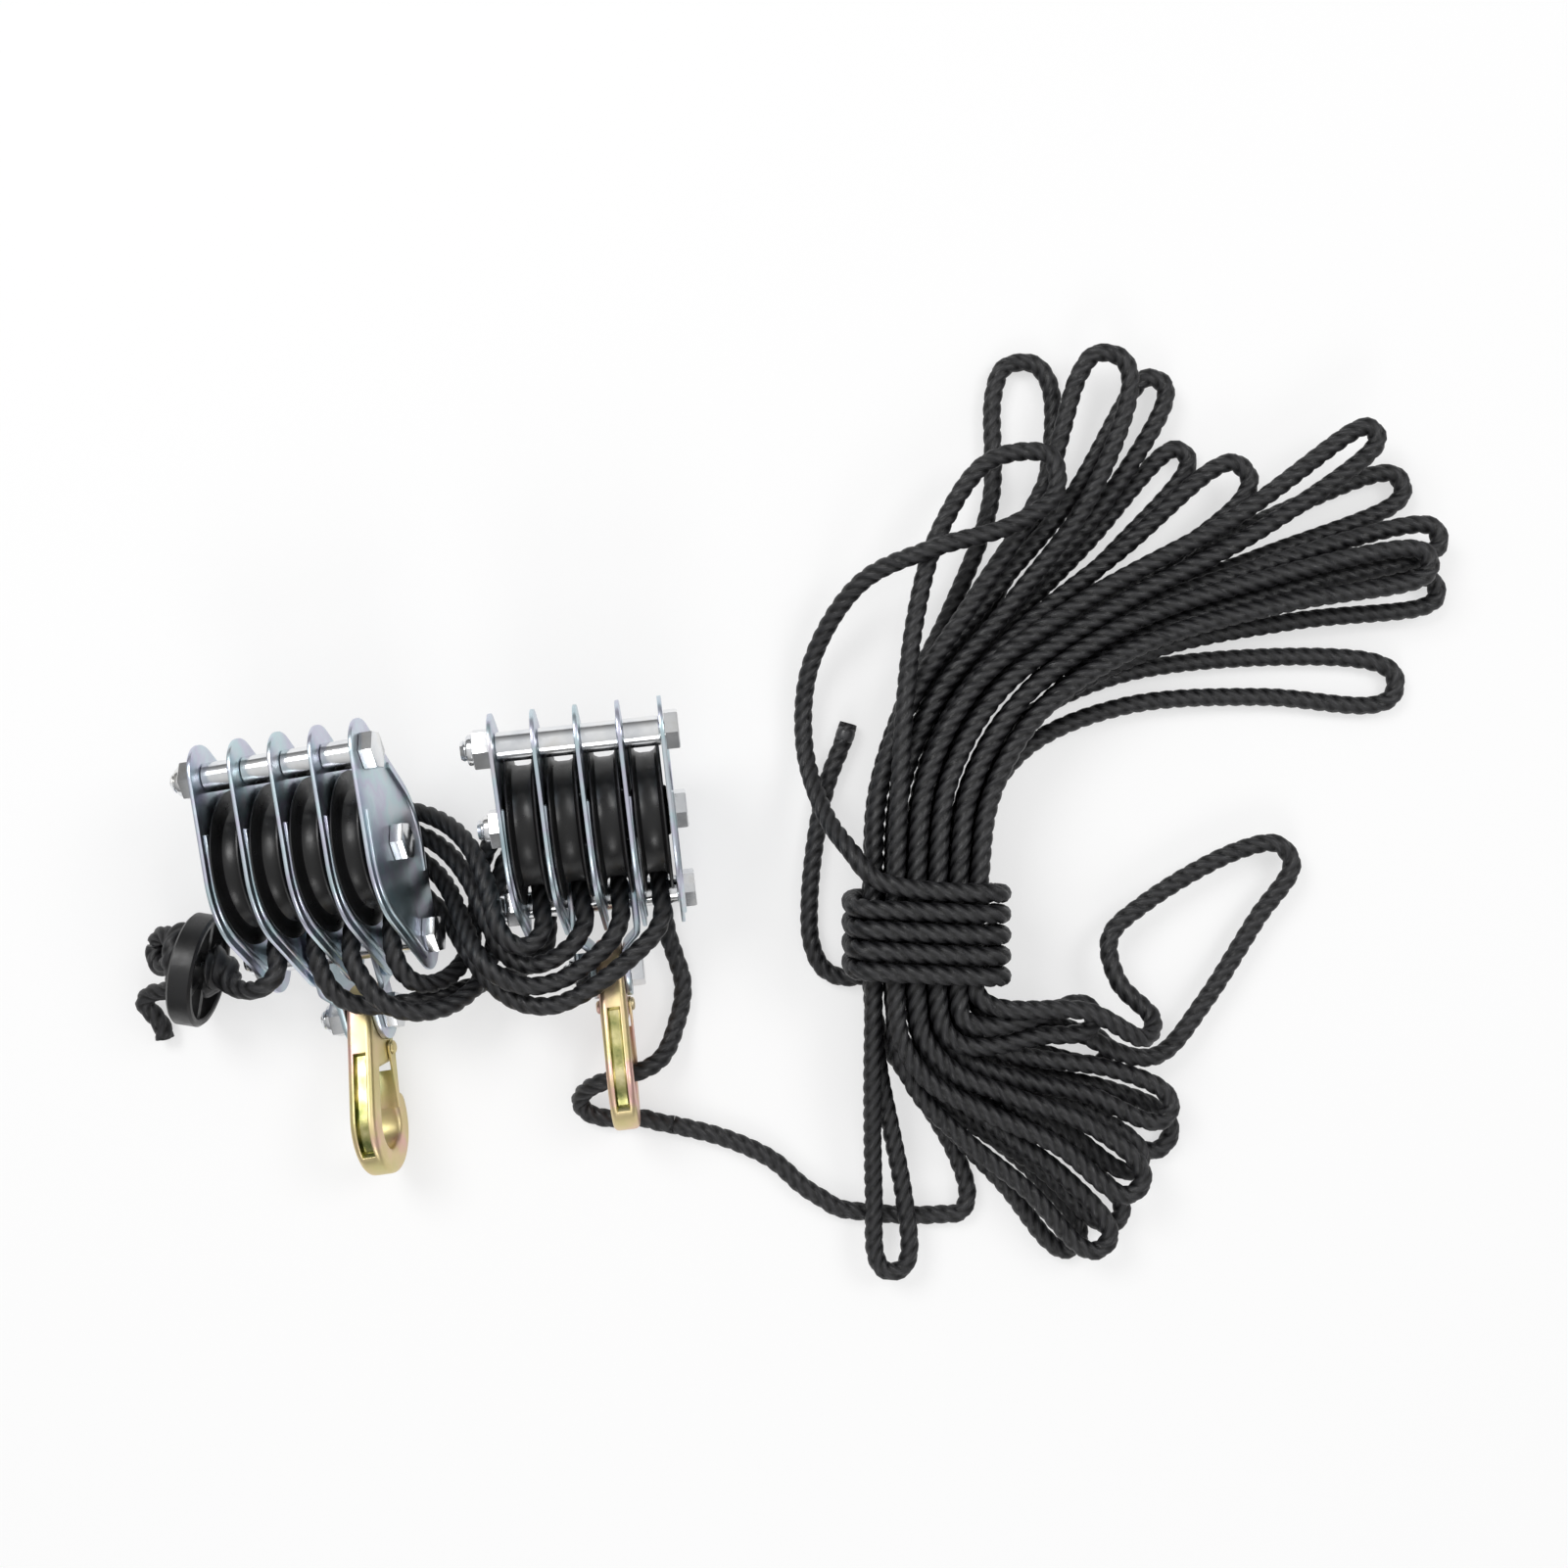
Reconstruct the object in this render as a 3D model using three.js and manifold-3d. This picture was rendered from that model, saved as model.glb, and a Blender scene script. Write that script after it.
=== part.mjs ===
// Block and tackle: two four-sheave blocks rove to seven parts with a laid rope, a hook on
// each block, and the free end of the rope made up into a bound hank.
// Millimetres, +Z up, lying on a floor at z = 0; +Y is up the picture and +X to its right.

import * as THREE from 'three';
import { mergeVertices } from 'three/addons/utils/BufferGeometryUtils.js';
import Module from 'manifold-3d';

const wasm = await Module();
wasm.setup();

// Clearances
const seatGap = 0.3;
const runningGap = 0.3;
const cutOverrun = 2;

// Rope
const ropeDiameter = 9.5;
const ropeSides = 8;
const ropeBedRadius = 34.4;

// Side plates
const platePitch = 19.5;
const plateThickness = 2;
const topBoltDistance = 50;
const bottomBoltDistance = 54;
const plateTopRadius = 16;
const plateWaistRadius = 41;
const plateWaistDrop = 4;
const plateBottomRadius = 17;

// Pressed ribs along the long edges of a plate
const ribInset = 5.2;
const ribWidth = 3.2;
const ribHeight = 1.2;
const ribUpperRun = 21;
const ribNearLowerRun = 43;
const ribFarLowerRun = 12;

// Sheaves
const sheaveRadius = 38;
const sheaveRimWidth = 14.2;
const sheaveHubRadius = 12;
const grooveMouthWidth = 12.6;
const grooveShoulderRadius = 31;
const grooveShoulderWidth = 10.4;
const grooveFloorRadius = 29;
const grooveFloorWidth = 5;

// Bolts, nuts and spacer tubes
const boltDiameter = 10;
const hexAcrossFlats = 17;
const headHeight = 6.4;
const nutHeight = 8;
const nutCollarDiameter = 14.4;
const nutCollarHeight = 2.6;
const threadStandOut = 3;
const spacerDiameter = 14;

// Hook carrier: two bent legs from the bottom bolt to the clevis bolt
const legThickness = 3;
const legHalfWidth = 14;
const clevisDistance = 37;
const legBendStart = 17.5;
const legBendLength = 8.5;

// Hook
const hookThickness = 13;
const hookBevel = 2;
const hookEyeRadius = 15.5;
const hookEyeHoleRadius = 6;
const hookBowlDistance = 55;
const hookBowlRadius = 25;
const hookBowlSection = 12;
const hookNeckLength = 24;
const hookNeckDrop = 14;
const hookMouthLength = 28;
const hookMouthRise = 9;
const hookTipAngle = -118;
const hookGrooveWidth = 7;
const hookGrooveDepth = 3.4;
const hookGrooveStart = 14;
const hookGrooveEndAngle = 50;

// Safety latch, a folded sheet on a rivet through the hook's neck
const latchThickness = 1.2;
const latchPivotAlong = 18;
const latchPivotDrop = 6.4;
const latchCheekRadius = 4;
const latchTipDepth = 3;
const latchLength = 30;
const latchWebStart = 11;
const latchRivetRadius = 2;
const latchRivetHeadRadius = 3.4;
const latchRivetHeadHeight = 1.6;

// Stopper ring, and the knot of the rope behind it
const stopperCentre = [-291.4, -92.4, 28.1];
const stopperHeading = [0.988, -0.154, 0];
const stopperRadius = 28;
const stopperRimDepth = 4;
const stopperWidth = 12;
const stopperWebWidth = 7;
const stopperHubRadius = 9.5;
const stopperBoreRadius = 5.6;
const stopperSpokes = 6;
const stopperSpokeWidth = 4;
const flareRadius = 15.5;
const knotReach = 20;
const knotTurns = [
  { radius: 10, along: -11.2, side: 8, rise: 2, lean: 0 },
  { radius: 8, along: -18, side: 7, rise: 3, lean: 48 },
];
const knotEnd = [
  [-304, -94, 22], [-311, -103.7, 16], [-321.5, -106.5, 12], [-325.5, -111.5, 9.5],
  [-321.5, -117.5, 7.8], [-317.8, -123.5, 6.4], [-316.6, -130, 5.4],
];

// Lie of the rope: stations on its smooth routes, and the bays that its runs enter
const finePerPoint = 12;
const routeBow = 0.4;
const routeStep = 26;
const gapStep = 2;
const gapBendLength = 26;
const bayEntry = [[-47, 21.5, 1], [-43, 19, 0.7], [-39, 14, 0.5], [-36, 8, 0.2]];
const bedStart = 180;
const bedStep = 11;
const tail = [
  [-272.4, -99.8, 35.5], [-264.3, -101.1, 41], [-255.9, -99.9, 46.6], [-249.2, -95.9, 48.2],
];
const falls = [
  {
    block: 'left', sheave: 1, shift: 0, leave: 235, run: [
      [-252.6, -35.5, 12.5], [-253.7, -28.2, 8.8], [-252, -21, 6.2], [-246.8, -15.8, 5.1],
      [-238.3, -13.8, 5], [-225.8, -12.8, 5], [-210.8, -12.3, 5], [-194.6, -12.8, 5.5],
      [-181.8, -15.7, 9], [-168.1, -21.5, 18], [-155.2, -32.9, 29], [-146.7, -48, 38],
      [-141.9, -63, 43.5], [-138.8, -71.4, 45], [-133.1, -77.7, 45], [-125.5, -79.2, 44.3],
      [-120, -75, 43],
    ],
  },
  {
    block: 'right', sheave: 1, shift: 0, leave: 180, run: [
      [-121.5, -42.5, 30.3], [-122.2, -39.5, 23.6], [-122.7, -39.7, 16.2], [-122.7, -44, 9.1],
      [-121.9, -52.9, 5.6], [-120.7, -64.3, 4.9], [-122, -82.9, 5], [-128, -90.5, 5],
      [-137.4, -96.4, 6], [-148.7, -100.4, 10], [-160.4, -102.8, 19.3], [-170.6, -105.3, 30],
      [-181.2, -106.9, 37], [-192.5, -108.4, 40], [-204.4, -108.6, 42.5], [-214.2, -105.3, 45.5],
      [-221.6, -97.8, 48],
    ],
  },
  {
    block: 'left', sheave: 2, shift: 1, leave: 232, run: [
      [-233.2, -33.5, 12.5], [-232.7, -28.2, 9], [-229.4, -24.8, 6.5], [-222.7, -23.3, 5.1],
      [-210.8, -22.6, 5], [-196.7, -23.3, 5.2], [-183.1, -27, 7.8], [-169.7, -34.9, 15],
      [-156.9, -48.7, 25], [-148.6, -62.8, 33], [-143.2, -74.6, 36], [-136.9, -84.3, 36.5],
      [-128.2, -89.1, 36.5], [-117.8, -88, 38], [-107.9, -82.4, 40.5], [-100.5, -74.6, 42],
    ],
  },
  {
    block: 'right', sheave: 2, shift: 1, leave: 205, run: [
      [-104.6, -24.4, 20], [-105.4, -19.6, 13.5], [-108, -15.2, 9], [-112.8, -13.3, 6.4],
      [-119, -15.5, 5.1], [-125.5, -21.3, 5], [-135.1, -29.8, 5], [-142.1, -38.3, 5],
      [-146.1, -51.4, 5], [-146.5, -64.9, 5.5], [-146.9, -77.1, 9], [-148.7, -88.8, 16],
      [-152.8, -99.5, 26], [-159.7, -106.5, 36], [-167.7, -109.8, 44], [-177.1, -110.8, 49],
      [-186.5, -109.3, 51.5], [-195.3, -104.4, 52.5], [-202.4, -96.4, 52.5],
    ],
  },
  {
    block: 'left', sheave: 3, shift: -1.6, leave: 215, run: [
      [-212.1, -43.2, 17.5], [-212.9, -38, 12.5], [-211.3, -34.2, 9], [-207.4, -33, 6.4],
      [-200.7, -33.3, 5.2], [-189.6, -36.3, 5.3], [-180.3, -42.8, 6.6], [-171.5, -50.9, 13],
      [-163.3, -62.4, 25], [-156, -74.7, 35.2], [-147.5, -86.3, 44.3], [-136.7, -95.2, 46],
      [-124.6, -98.8, 44], [-112.5, -97.1, 42], [-101, -91.4, 42], [-90.4, -82.7, 42.5],
      [-82.7, -73.6, 42.5],
    ],
  },
  {
    block: 'right', sheave: 3, shift: -1, leave: 208, run: [
      [-85.6, -20.5, 18], [-86.6, -15.1, 13], [-89, -10.7, 9.3], [-93.3, -7.8, 6.5],
      [-99, -4.8, 5.2], [-107.5, -2.3, 5], [-117.5, -2.8, 5], [-128.1, -8.8, 5],
      [-138.1, -17.3, 5], [-147.1, -25.8, 5], [-153.6, -37.8, 5], [-156.6, -52.4, 5.2],
      [-157.2, -65.8, 7], [-158.1, -76.9, 10.5], [-159.9, -86.2, 17], [-163.5, -92.7, 26],
      [-168.8, -96.9, 36], [-174.9, -97.8, 44], [-180.8, -95.3, 49.5], [-186, -88.8, 52],
    ],
  },
  {
    block: 'left', sheave: 4, shift: 0, leave: 205, run: [
      [-191.8, -48, 20], [-190.2, -49.8, 14], [-185.8, -54.6, 9], [-178.2, -61.7, 7.4],
      [-169.1, -70.3, 13], [-160.8, -79.1, 25], [-152.4, -88.9, 33.2], [-142.7, -99.7, 36.2],
      [-129.4, -107.7, 37.8], [-114.7, -108.9, 40], [-100, -103.4, 42], [-86, -94.1, 43],
      [-74.6, -84.7, 41.5], [-66.6, -76.7, 40], [-62.4, -71.5, 38.5],
    ],
  },
  {
    block: 'right', sheave: 4, shift: 0, leave: 180, run: [
      [-63.4, -36.1, 26.4], [-64.1, -33.9, 20.4], [-64.3, -35.6, 14.3], [-64.1, -40.9, 9],
      [-63.4, -49.1, 5.5], [-62.2, -59.9, 4.9], [-58.4, -80.9, 5], [-54.9, -90, 5],
      [-51.9, -101, 5], [-52.4, -112.5, 5.2], [-55.2, -123.2, 7], [-60.8, -137.2, 14],
      [-67.7, -142.4, 18.8], [-74.9, -145.2, 20.3], [-84.6, -147.7, 20.3], [-91.9, -150.3, 18.8],
      [-98, -153.5, 15.2], [-102.5, -157.9, 10.8], [-103.9, -163.2, 7.2], [-100.2, -168.1, 5.3],
      [-93.4, -170.5, 5], [-84.8, -171.3, 5], [-74.8, -170.6, 5], [-63.4, -173.2, 5],
    ],
  },
];
const hookJointLine = [[-66, -172.4, 4.95], [-52.4, -175.2, 4.95]];
const freeRun = [
  [-37.8, -178.8, 4.95], [-21.8, -184.2, 4.95], [-6.8, -191.7, 4.95], [2.8, -199.2, 4.95],
];
const hankJointLine = [[11, -207, 4.95], [22, -213.5, 4.95]];

// Hank: a bundle drawn in at the waist, with a loop's tip between one pass and the next
const hankWaist = [70, -73.5, 30.9];
const hankLayers = 4;
const hankSlots = 6;
const hankPitch = 10.3;
const waistReach = 31;
const hankFloorGap = 0.2;
const loopHandleShare = 0.42;
const loopShares = [0.13, 0.31, 0.54, 0.8];
const tipSteps = 3;
const hankDropRate = 3;
const hankLeadIn = [
  [44, -218.5, 4.95], [66, -219.5, 4.95], [84, -218.5, 4.95], [96, -216.5, 4.95], [100.5, -207.5, 4.95],
  [95.5, -186, 4.95], [77.5, -155, 5.5], [56.5, -123, 9],
];
const hankTurns = [
  { tip: [124.5, 200, 5.1], heading: 97, radius: 15 },
  { tip: [142.5, -227, 5.1], heading: -55, radius: 10 },
  { tip: [198, 164.5, 5.1], heading: 52, radius: 8 },
  { tip: [187, -172, 5.1], heading: -35, radius: 12 },
  { tip: [302, 52, 5.1], heading: -6, radius: 11 },
  { tip: [155, -143.5, 5.1], heading: -22, radius: 9 },
  { tip: [324.5, 98.5, 15.1], heading: 6, radius: 8 },
  { tip: [172, -189.5, 15.1], heading: -43, radius: 8 },
  { tip: [306, 151, 15.1], heading: 24, radius: 9 },
  { tip: [162, -215.5, 15.1], heading: -52, radius: 9 },
  { tip: [187, 197, 15.1], heading: 66, radius: 9 },
  { tip: [55, -238.5, 15.1], heading: -88, radius: 8 },
  { tip: [163, 203, 25.1], heading: 80, radius: 13 },
  { tip: [155, -227, 25.1], heading: -54, radius: 8 },
  { tip: [225.5, 148, 25.1], heading: 44, radius: 11 },
  { tip: [186, -160, 25.1], heading: -34, radius: 9 },
  { tip: [320, 126, 25.1], heading: 14, radius: 8 },
  {
    level: 25.1,
    by: [
      [142.5, -123], [177, -140], [192, -138.5], [214, -113], [241, -71], [258.5, -44], [251, -33.5],
      [230, -37], [182, -64], [164.5, -81], [168, -103], [183, -120.5], [177, -129], [147.5, -115.5],
    ],
  },
  { tip: [313, 111, 35.1], heading: 10, radius: 8 },
  { tip: [140, -99.5, 35.1], heading: -8, radius: 8 },
  { tip: [291, 170.5, 35.1], heading: 42, radius: 6 },
  { tip: [169.5, -194.5, 35.1], heading: -50, radius: 9 },
  {
    by: [
      [64, 79, 42], [78.5, 128.5, 38], [103, 160.5, 36], [132.5, 162.5, 36], [135, 143, 40],
      [113, 126, 46], [73.5, 113.5, 49], [39, 98.5, 36], [14.5, 59.5, 18], [11, 20, 14],
      [20.5, -14.5, 34], [32.5, -32.5, 52],
    ],
  },
];
const wrapLeadIn = [[45.5, -46.5, 57]];
const wrapRadius = 10.4;
const wrapCornerSteps = 3;
const wrapStart = 21;
const wrapAdvance = 10.1;
const wrapStations = 73;
const hankEnd = [
  [28.5, -98.5, 4.95], [19.5, -93.5, 4.95], [14, -81, 4.95], [13, -61.5, 4.95],
  [16, -29.5, 4.95], [22, 0, 4.95], [30.5, 22.5, 4.95], [33, 31, 4.95],
];

// How the loops of the hank settle against one another
const settleRounds = 400;
const settlePairRounds = 15;
const settleSweeps = 3;
const settleDistance = 10.15;
const settleSink = 0.08;
const settleFirmness = 0.6;
const settleEase = 0.25;
const sinkShare = 0.8;
const easeShare = 0.9;

// Facet counts
const boltSides = 8;
const nutCollarSides = 8;
const sheaveSides = 15;
const rivetSides = 8;
const plateEndSteps = 5;
const plateWaistSteps = 3;
const legEndSteps = 5;
const hookSteps = 6;
const stopperSides = 24;
const ringBoreSides = 8;
const flareSides = 12;
const knotSteps = 9;
const hankSides = 6;
const figureDigits = 5;

// How each block lies: heading, tilt and roll in degrees, place of its centre and its lift
const blocks = [
  { name: 'left', heading: 12, tilt: 27.5, roll: -6, x: -226.2, y: -34.5, lift: 6 },
  { name: 'right', heading: 3, tilt: 41.5, roll: 5, x: -93.2, y: -16.5, lift: 0 },
];
const hookFloorGap = 0.1;

// Colours
const plateColour = [0.62, 0.68, 0.74];
const zincColour = [0.8, 0.81, 0.82];
const hookColour = [0.78, 0.69, 0.42];
const plasticColour = [0.03, 0.03, 0.032];
const ropeColour = [0.025, 0.025, 0.027];

const half = (size) => size / 2;
const radians = (angle) => THREE.MathUtils.degToRad(angle);

const material = ([r, g, b], roughness, metalness) => new THREE.MeshStandardMaterial({
  color: new THREE.Color(r, g, b), roughness, metalness,
});
const plateMetal = material(plateColour, 0.32, 1);
const zinc = material(zincColour, 0.22, 1);
const hookMetal = material(hookColour, 0.35, 1);
const plastic = material(plasticColour, 0.38, 0);
const fibre = material(ropeColour, 0.6, 0);

// Solids

function toSolid(geometry) {
  const bare = geometry.clone();
  bare.deleteAttribute('normal');
  bare.deleteAttribute('uv');
  const merged = mergeVertices(bare);
  return new wasm.Manifold(new wasm.Mesh({
    numProp: 3,
    vertProperties: new Float32Array(merged.attributes.position.array),
    triVerts: new Uint32Array(merged.index.array),
  }));
}

function toGeometry(solid) {
  const { vertProperties, triVerts } = solid.getMesh();
  const geometry = new THREE.BufferGeometry();
  geometry.setAttribute('position', new THREE.BufferAttribute(vertProperties, 3));
  geometry.setIndex(new THREE.BufferAttribute(triVerts, 1));
  geometry.computeVertexNormals();
  return geometry;
}

// Points are laid out in a block's y-z plane. An arc turns from +y towards +z.
function arc(centre, radius, from, to, steps, lift = 0) {
  return Array.from({ length: steps + 1 }, (_, i) => {
    const angle = from + (to - from) * i / steps;
    return new THREE.Vector2(centre + radius * Math.cos(angle), lift + radius * Math.sin(angle));
  });
}

const circle = (radius, sides, centre = 0, lift = 0) => (
  arc(centre, radius, 0, 2 * Math.PI, sides, lift).slice(1)
);

const axleTurn = new THREE.Matrix4().makeBasis(
  new THREE.Vector3(0, 1, 0),
  new THREE.Vector3(0, 0, 1),
  new THREE.Vector3(1, 0, 0),
);

// An outline drawn out along the axles, between two stations.
function drawnOut(points, holes, start, end, bevel = 0) {
  const shape = new THREE.Shape(points);
  shape.holes = holes.map((hole) => new THREE.Path(hole));
  const geometry = new THREE.ExtrudeGeometry(shape, {
    depth: end - start - 2 * bevel,
    bevelEnabled: bevel > 0,
    bevelThickness: bevel,
    bevelSize: bevel,
    bevelOffset: -bevel,
    bevelSegments: 1,
  });
  geometry.translate(0, 0, start + bevel);
  return toSolid(geometry.applyMatrix4(axleTurn));
}

// Side plate, its sheaves' bolt at the origin

const topTangent = Math.acos(
  (plateWaistRadius - plateTopRadius) / (topBoltDistance + plateWaistDrop),
);
const bottomTangent = Math.PI - Math.acos(
  (plateWaistRadius - plateBottomRadius) / (bottomBoltDistance - plateWaistDrop),
);
const boltHoleRadius = half(boltDiameter) + seatGap;

const waistArc = (radius, from, to) => arc(-plateWaistDrop, radius, from, to, plateWaistSteps);

const plateOutline = [
  ...arc(topBoltDistance, plateTopRadius, -topTangent, topTangent, plateEndSteps),
  ...waistArc(plateWaistRadius, topTangent, bottomTangent),
  ...arc(
    -bottomBoltDistance, plateBottomRadius, bottomTangent, 2 * Math.PI - bottomTangent, plateEndSteps,
  ),
  ...waistArc(plateWaistRadius, 2 * Math.PI - bottomTangent, 2 * Math.PI - topTangent),
];

function ribSolid(lowerRun, side) {
  const line = (inset) => {
    const points = waistArc(plateWaistRadius - inset, topTangent, bottomTangent);
    const upper = new THREE.Vector2(Math.sin(topTangent), -Math.cos(topTangent));
    const lower = new THREE.Vector2(-Math.sin(bottomTangent), Math.cos(bottomTangent));
    points.unshift(points[0].clone().addScaledVector(upper, ribUpperRun));
    points.push(points.at(-1).clone().addScaledVector(lower, lowerRun));
    return points;
  };
  const edges = [
    ...line(ribInset - half(ribWidth)),
    ...line(ribInset + half(ribWidth)).reverse(),
  ];
  const outline = edges.map((point) => new THREE.Vector2(point.x, side * point.y));
  return drawnOut(outline, [], 0, half(plateThickness) + ribHeight);
}

function plateGeometry() {
  const stations = [topBoltDistance, 0, -bottomBoltDistance];
  const holes = stations.map((y) => circle(boltHoleRadius, boltSides, y));
  return toGeometry(
    drawnOut(plateOutline, holes, -half(plateThickness), half(plateThickness))
      .add(ribSolid(ribNearLowerRun, 1))
      .add(ribSolid(ribFarLowerRun, -1)),
  );
}

// Sheave

const bayWidth = platePitch - plateThickness;

function sheaveGeometry() {
  const hubHalf = half(bayWidth) - runningGap;
  const side = [
    [boltHoleRadius, hubHalf],
    [sheaveHubRadius, hubHalf],
    [sheaveHubRadius, half(sheaveRimWidth)],
    [sheaveRadius, half(sheaveRimWidth)],
    [sheaveRadius, half(grooveMouthWidth)],
    [grooveShoulderRadius, half(grooveShoulderWidth)],
    [grooveFloorRadius, half(grooveFloorWidth)],
  ];
  const profile = [
    ...side.map(([radius, x]) => new THREE.Vector2(radius, -x)),
    ...side.map(([radius, x]) => new THREE.Vector2(radius, x)).reverse(),
  ];
  profile.push(profile[0].clone());
  return toGeometry(toSolid(new THREE.LatheGeometry(profile, sheaveSides).rotateZ(-half(Math.PI))));
}

// Fasteners and spacer tubes, their heads towards +x

const hexRadius = half(hexAcrossFlats) / Math.cos(Math.PI / 6);
const boltCircle = circle(half(boltDiameter), boltSides);

function boltSolid(from, to) {
  const end = from - seatGap - nutHeight - nutCollarHeight - threadStandOut;
  const face = to + seatGap;
  return drawnOut(boltCircle, [], end, face + half(headHeight))
    .add(drawnOut(circle(hexRadius, 6), [], face, face + headHeight));
}

function nutSolid(from, boreRadius) {
  const bore = circle(boreRadius, boltSides);
  const face = from - seatGap;
  const back = face - nutHeight;
  return drawnOut(circle(hexRadius, 6), [bore], back, face).add(
    drawnOut(
      circle(half(nutCollarDiameter), nutCollarSides), [bore], back - nutCollarHeight, face - half(nutHeight),
    ),
  );
}

const spacerGeometry = (from, to) => toGeometry(drawnOut(
  circle(half(spacerDiameter), boltSides),
  [circle(boltHoleRadius, boltSides)],
  from + seatGap,
  to - seatGap,
));

// Hook carrier: bottom bolt at the origin, clevis bolt towards -y

const legBoltOffset = platePitch - half(plateThickness) - ribHeight - seatGap - half(legThickness);
const legClevisOffset = half(hookThickness) + seatGap + half(legThickness);
const legBoreRadius = boltHoleRadius / Math.cos(Math.PI / boltSides);

function legGeometry(side) {
  const plan = drawnOut(
    [
      ...arc(0, legHalfWidth, -half(Math.PI), half(Math.PI), legEndSteps),
      ...arc(-clevisDistance, legHalfWidth, half(Math.PI), 3 * half(Math.PI), legEndSteps),
    ],
    [0, -clevisDistance].map((y) => circle(legBoreRadius, boltSides, y)),
    -platePitch,
    platePitch,
  );
  const offsets = [legBoltOffset, legBoltOffset, legClevisOffset, legClevisOffset];
  const stations = [
    legHalfWidth + cutOverrun,
    -legBendStart,
    -legBendStart - legBendLength,
    -clevisDistance - legHalfWidth - cutOverrun,
  ];
  const wall = (shift) => stations.map((y, i) => new THREE.Vector2(side * (offsets[i] + shift), y));
  const outline = [...wall(half(legThickness)), ...wall(-half(legThickness)).reverse()];
  const depth = 2 * (legHalfWidth + cutOverrun);
  const strip = new THREE.ExtrudeGeometry(new THREE.Shape(outline), { depth, bevelEnabled: false });
  return toGeometry(toSolid(strip.translate(0, 0, -half(depth))).intersect(plan));
}

function clevisBoltGeometry() {
  const grip = legClevisOffset + half(legThickness);
  return toGeometry(boltSolid(-grip, grip).add(nutSolid(-grip, half(boltDiameter) - seatGap)));
}

// Hook: eye at the origin, bowl towards -y, back towards +z

const backAngle = Math.PI - Math.acos((hookBowlRadius - hookEyeRadius) / hookBowlDistance);
const hookSpot = (along, rise) => new THREE.Vector2(-along, rise);
const hookArc = (along, radius, from, to, steps, rise = 0) => (
  arc(along, radius, from, to, steps, rise).map((point) => hookSpot(point.x, point.y))
);
const rivetStation = half(hookThickness) + runningGap + latchThickness + runningGap;

function hookGeometry() {
  const tipAngle = radians(hookTipAngle);
  const bowlMiddle = hookBowlRadius - half(hookBowlSection);
  const tipAlong = hookBowlDistance + bowlMiddle * Math.cos(tipAngle);
  const tipRise = bowlMiddle * Math.sin(tipAngle);
  const outline = [
    hookSpot(hookNeckLength, -hookNeckDrop),
    ...hookArc(0, hookEyeRadius, 3 * half(Math.PI), backAngle, hookSteps),
    ...hookArc(hookBowlDistance, hookBowlRadius, backAngle, tipAngle, 2 * hookSteps),
    ...hookArc(tipAlong, half(hookBowlSection), tipAngle, tipAngle - Math.PI, half(hookSteps), tipRise)
      .slice(1, -1),
    ...hookArc(
      hookBowlDistance, hookBowlRadius - hookBowlSection, tipAngle, half(Math.PI), hookSteps,
    ),
    hookSpot(hookMouthLength, hookMouthRise),
  ];
  const eye = hookArc(0, hookEyeHoleRadius, 0, 2 * Math.PI, boltSides).slice(1);
  const body = drawnOut(outline, [eye], -half(hookThickness), half(hookThickness), hookBevel);

  const channelLine = (depth) => {
    const start = new THREE.Vector2(Math.cos(backAngle), Math.sin(backAngle))
      .multiplyScalar(hookEyeRadius - depth)
      .add(new THREE.Vector2(Math.sin(backAngle), -Math.cos(backAngle)).multiplyScalar(hookGrooveStart));
    const end = radians(hookGrooveEndAngle);
    return [
      hookSpot(start.x, start.y),
      ...hookArc(hookBowlDistance, hookBowlRadius - depth, backAngle, end, hookSteps),
    ];
  };
  const channel = drawnOut(
    [...channelLine(hookGrooveDepth), ...channelLine(-cutOverrun).reverse()],
    [],
    -half(hookGrooveWidth),
    half(hookGrooveWidth),
  );
  const rivetSpot = hookSpot(latchPivotAlong, -latchPivotDrop);
  const disc = (radius, from, to) => drawnOut(
    circle(radius, rivetSides, rivetSpot.x, rivetSpot.y), [], from, to,
  );
  const headEnd = rivetStation + latchRivetHeadHeight;
  return toGeometry(
    body.subtract(channel)
      .add(disc(latchRivetRadius, -headEnd, headEnd))
      .add(disc(latchRivetHeadRadius, rivetStation, headEnd))
      .add(disc(latchRivetHeadRadius, -headEnd, -rivetStation)),
  );
}

// Latch, in the hook's frame

function latchGeometry() {
  const inner = half(hookThickness) + runningGap;
  const outer = inner + latchThickness;
  const edge = -latchPivotDrop - latchCheekRadius;
  const tip = latchPivotAlong + latchLength;
  const cheek = [
    ...hookArc(
      latchPivotAlong, latchCheekRadius, half(Math.PI), 3 * half(Math.PI), legEndSteps, -latchPivotDrop,
    ),
    hookSpot(tip, edge),
    hookSpot(tip, edge + latchTipDepth),
  ];
  const hole = circle(
    latchRivetRadius + runningGap, rivetSides, -latchPivotAlong, -latchPivotDrop,
  );
  const web = [
    hookSpot(latchPivotAlong + latchWebStart, edge),
    hookSpot(tip, edge),
    hookSpot(tip, edge + latchThickness),
    hookSpot(latchPivotAlong + latchWebStart, edge + latchThickness),
  ];
  return toGeometry(
    drawnOut(cheek, [hole], inner, outer)
      .add(drawnOut(cheek, [hole], -outer, -inner))
      .add(drawnOut(web, [], -outer, outer)),
  );
}

// Blocks

const group = new THREE.Group();
const tilted = (name, geometry, look, matrix) => {
  const mesh = new THREE.Mesh(geometry.clone().applyMatrix4(matrix), look);
  mesh.name = name;
  group.add(mesh);
};

const axleX = new THREE.Vector3(1, 0, 0);
const plateStations = [-2, -1, 0, 1, 2].map((i) => i * platePitch);
const bayStations = [-1.5, -0.5, 0.5, 1.5].map((i) => i * platePitch);
const sideFaces = plateStations.at(-1) + half(plateThickness);

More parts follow.
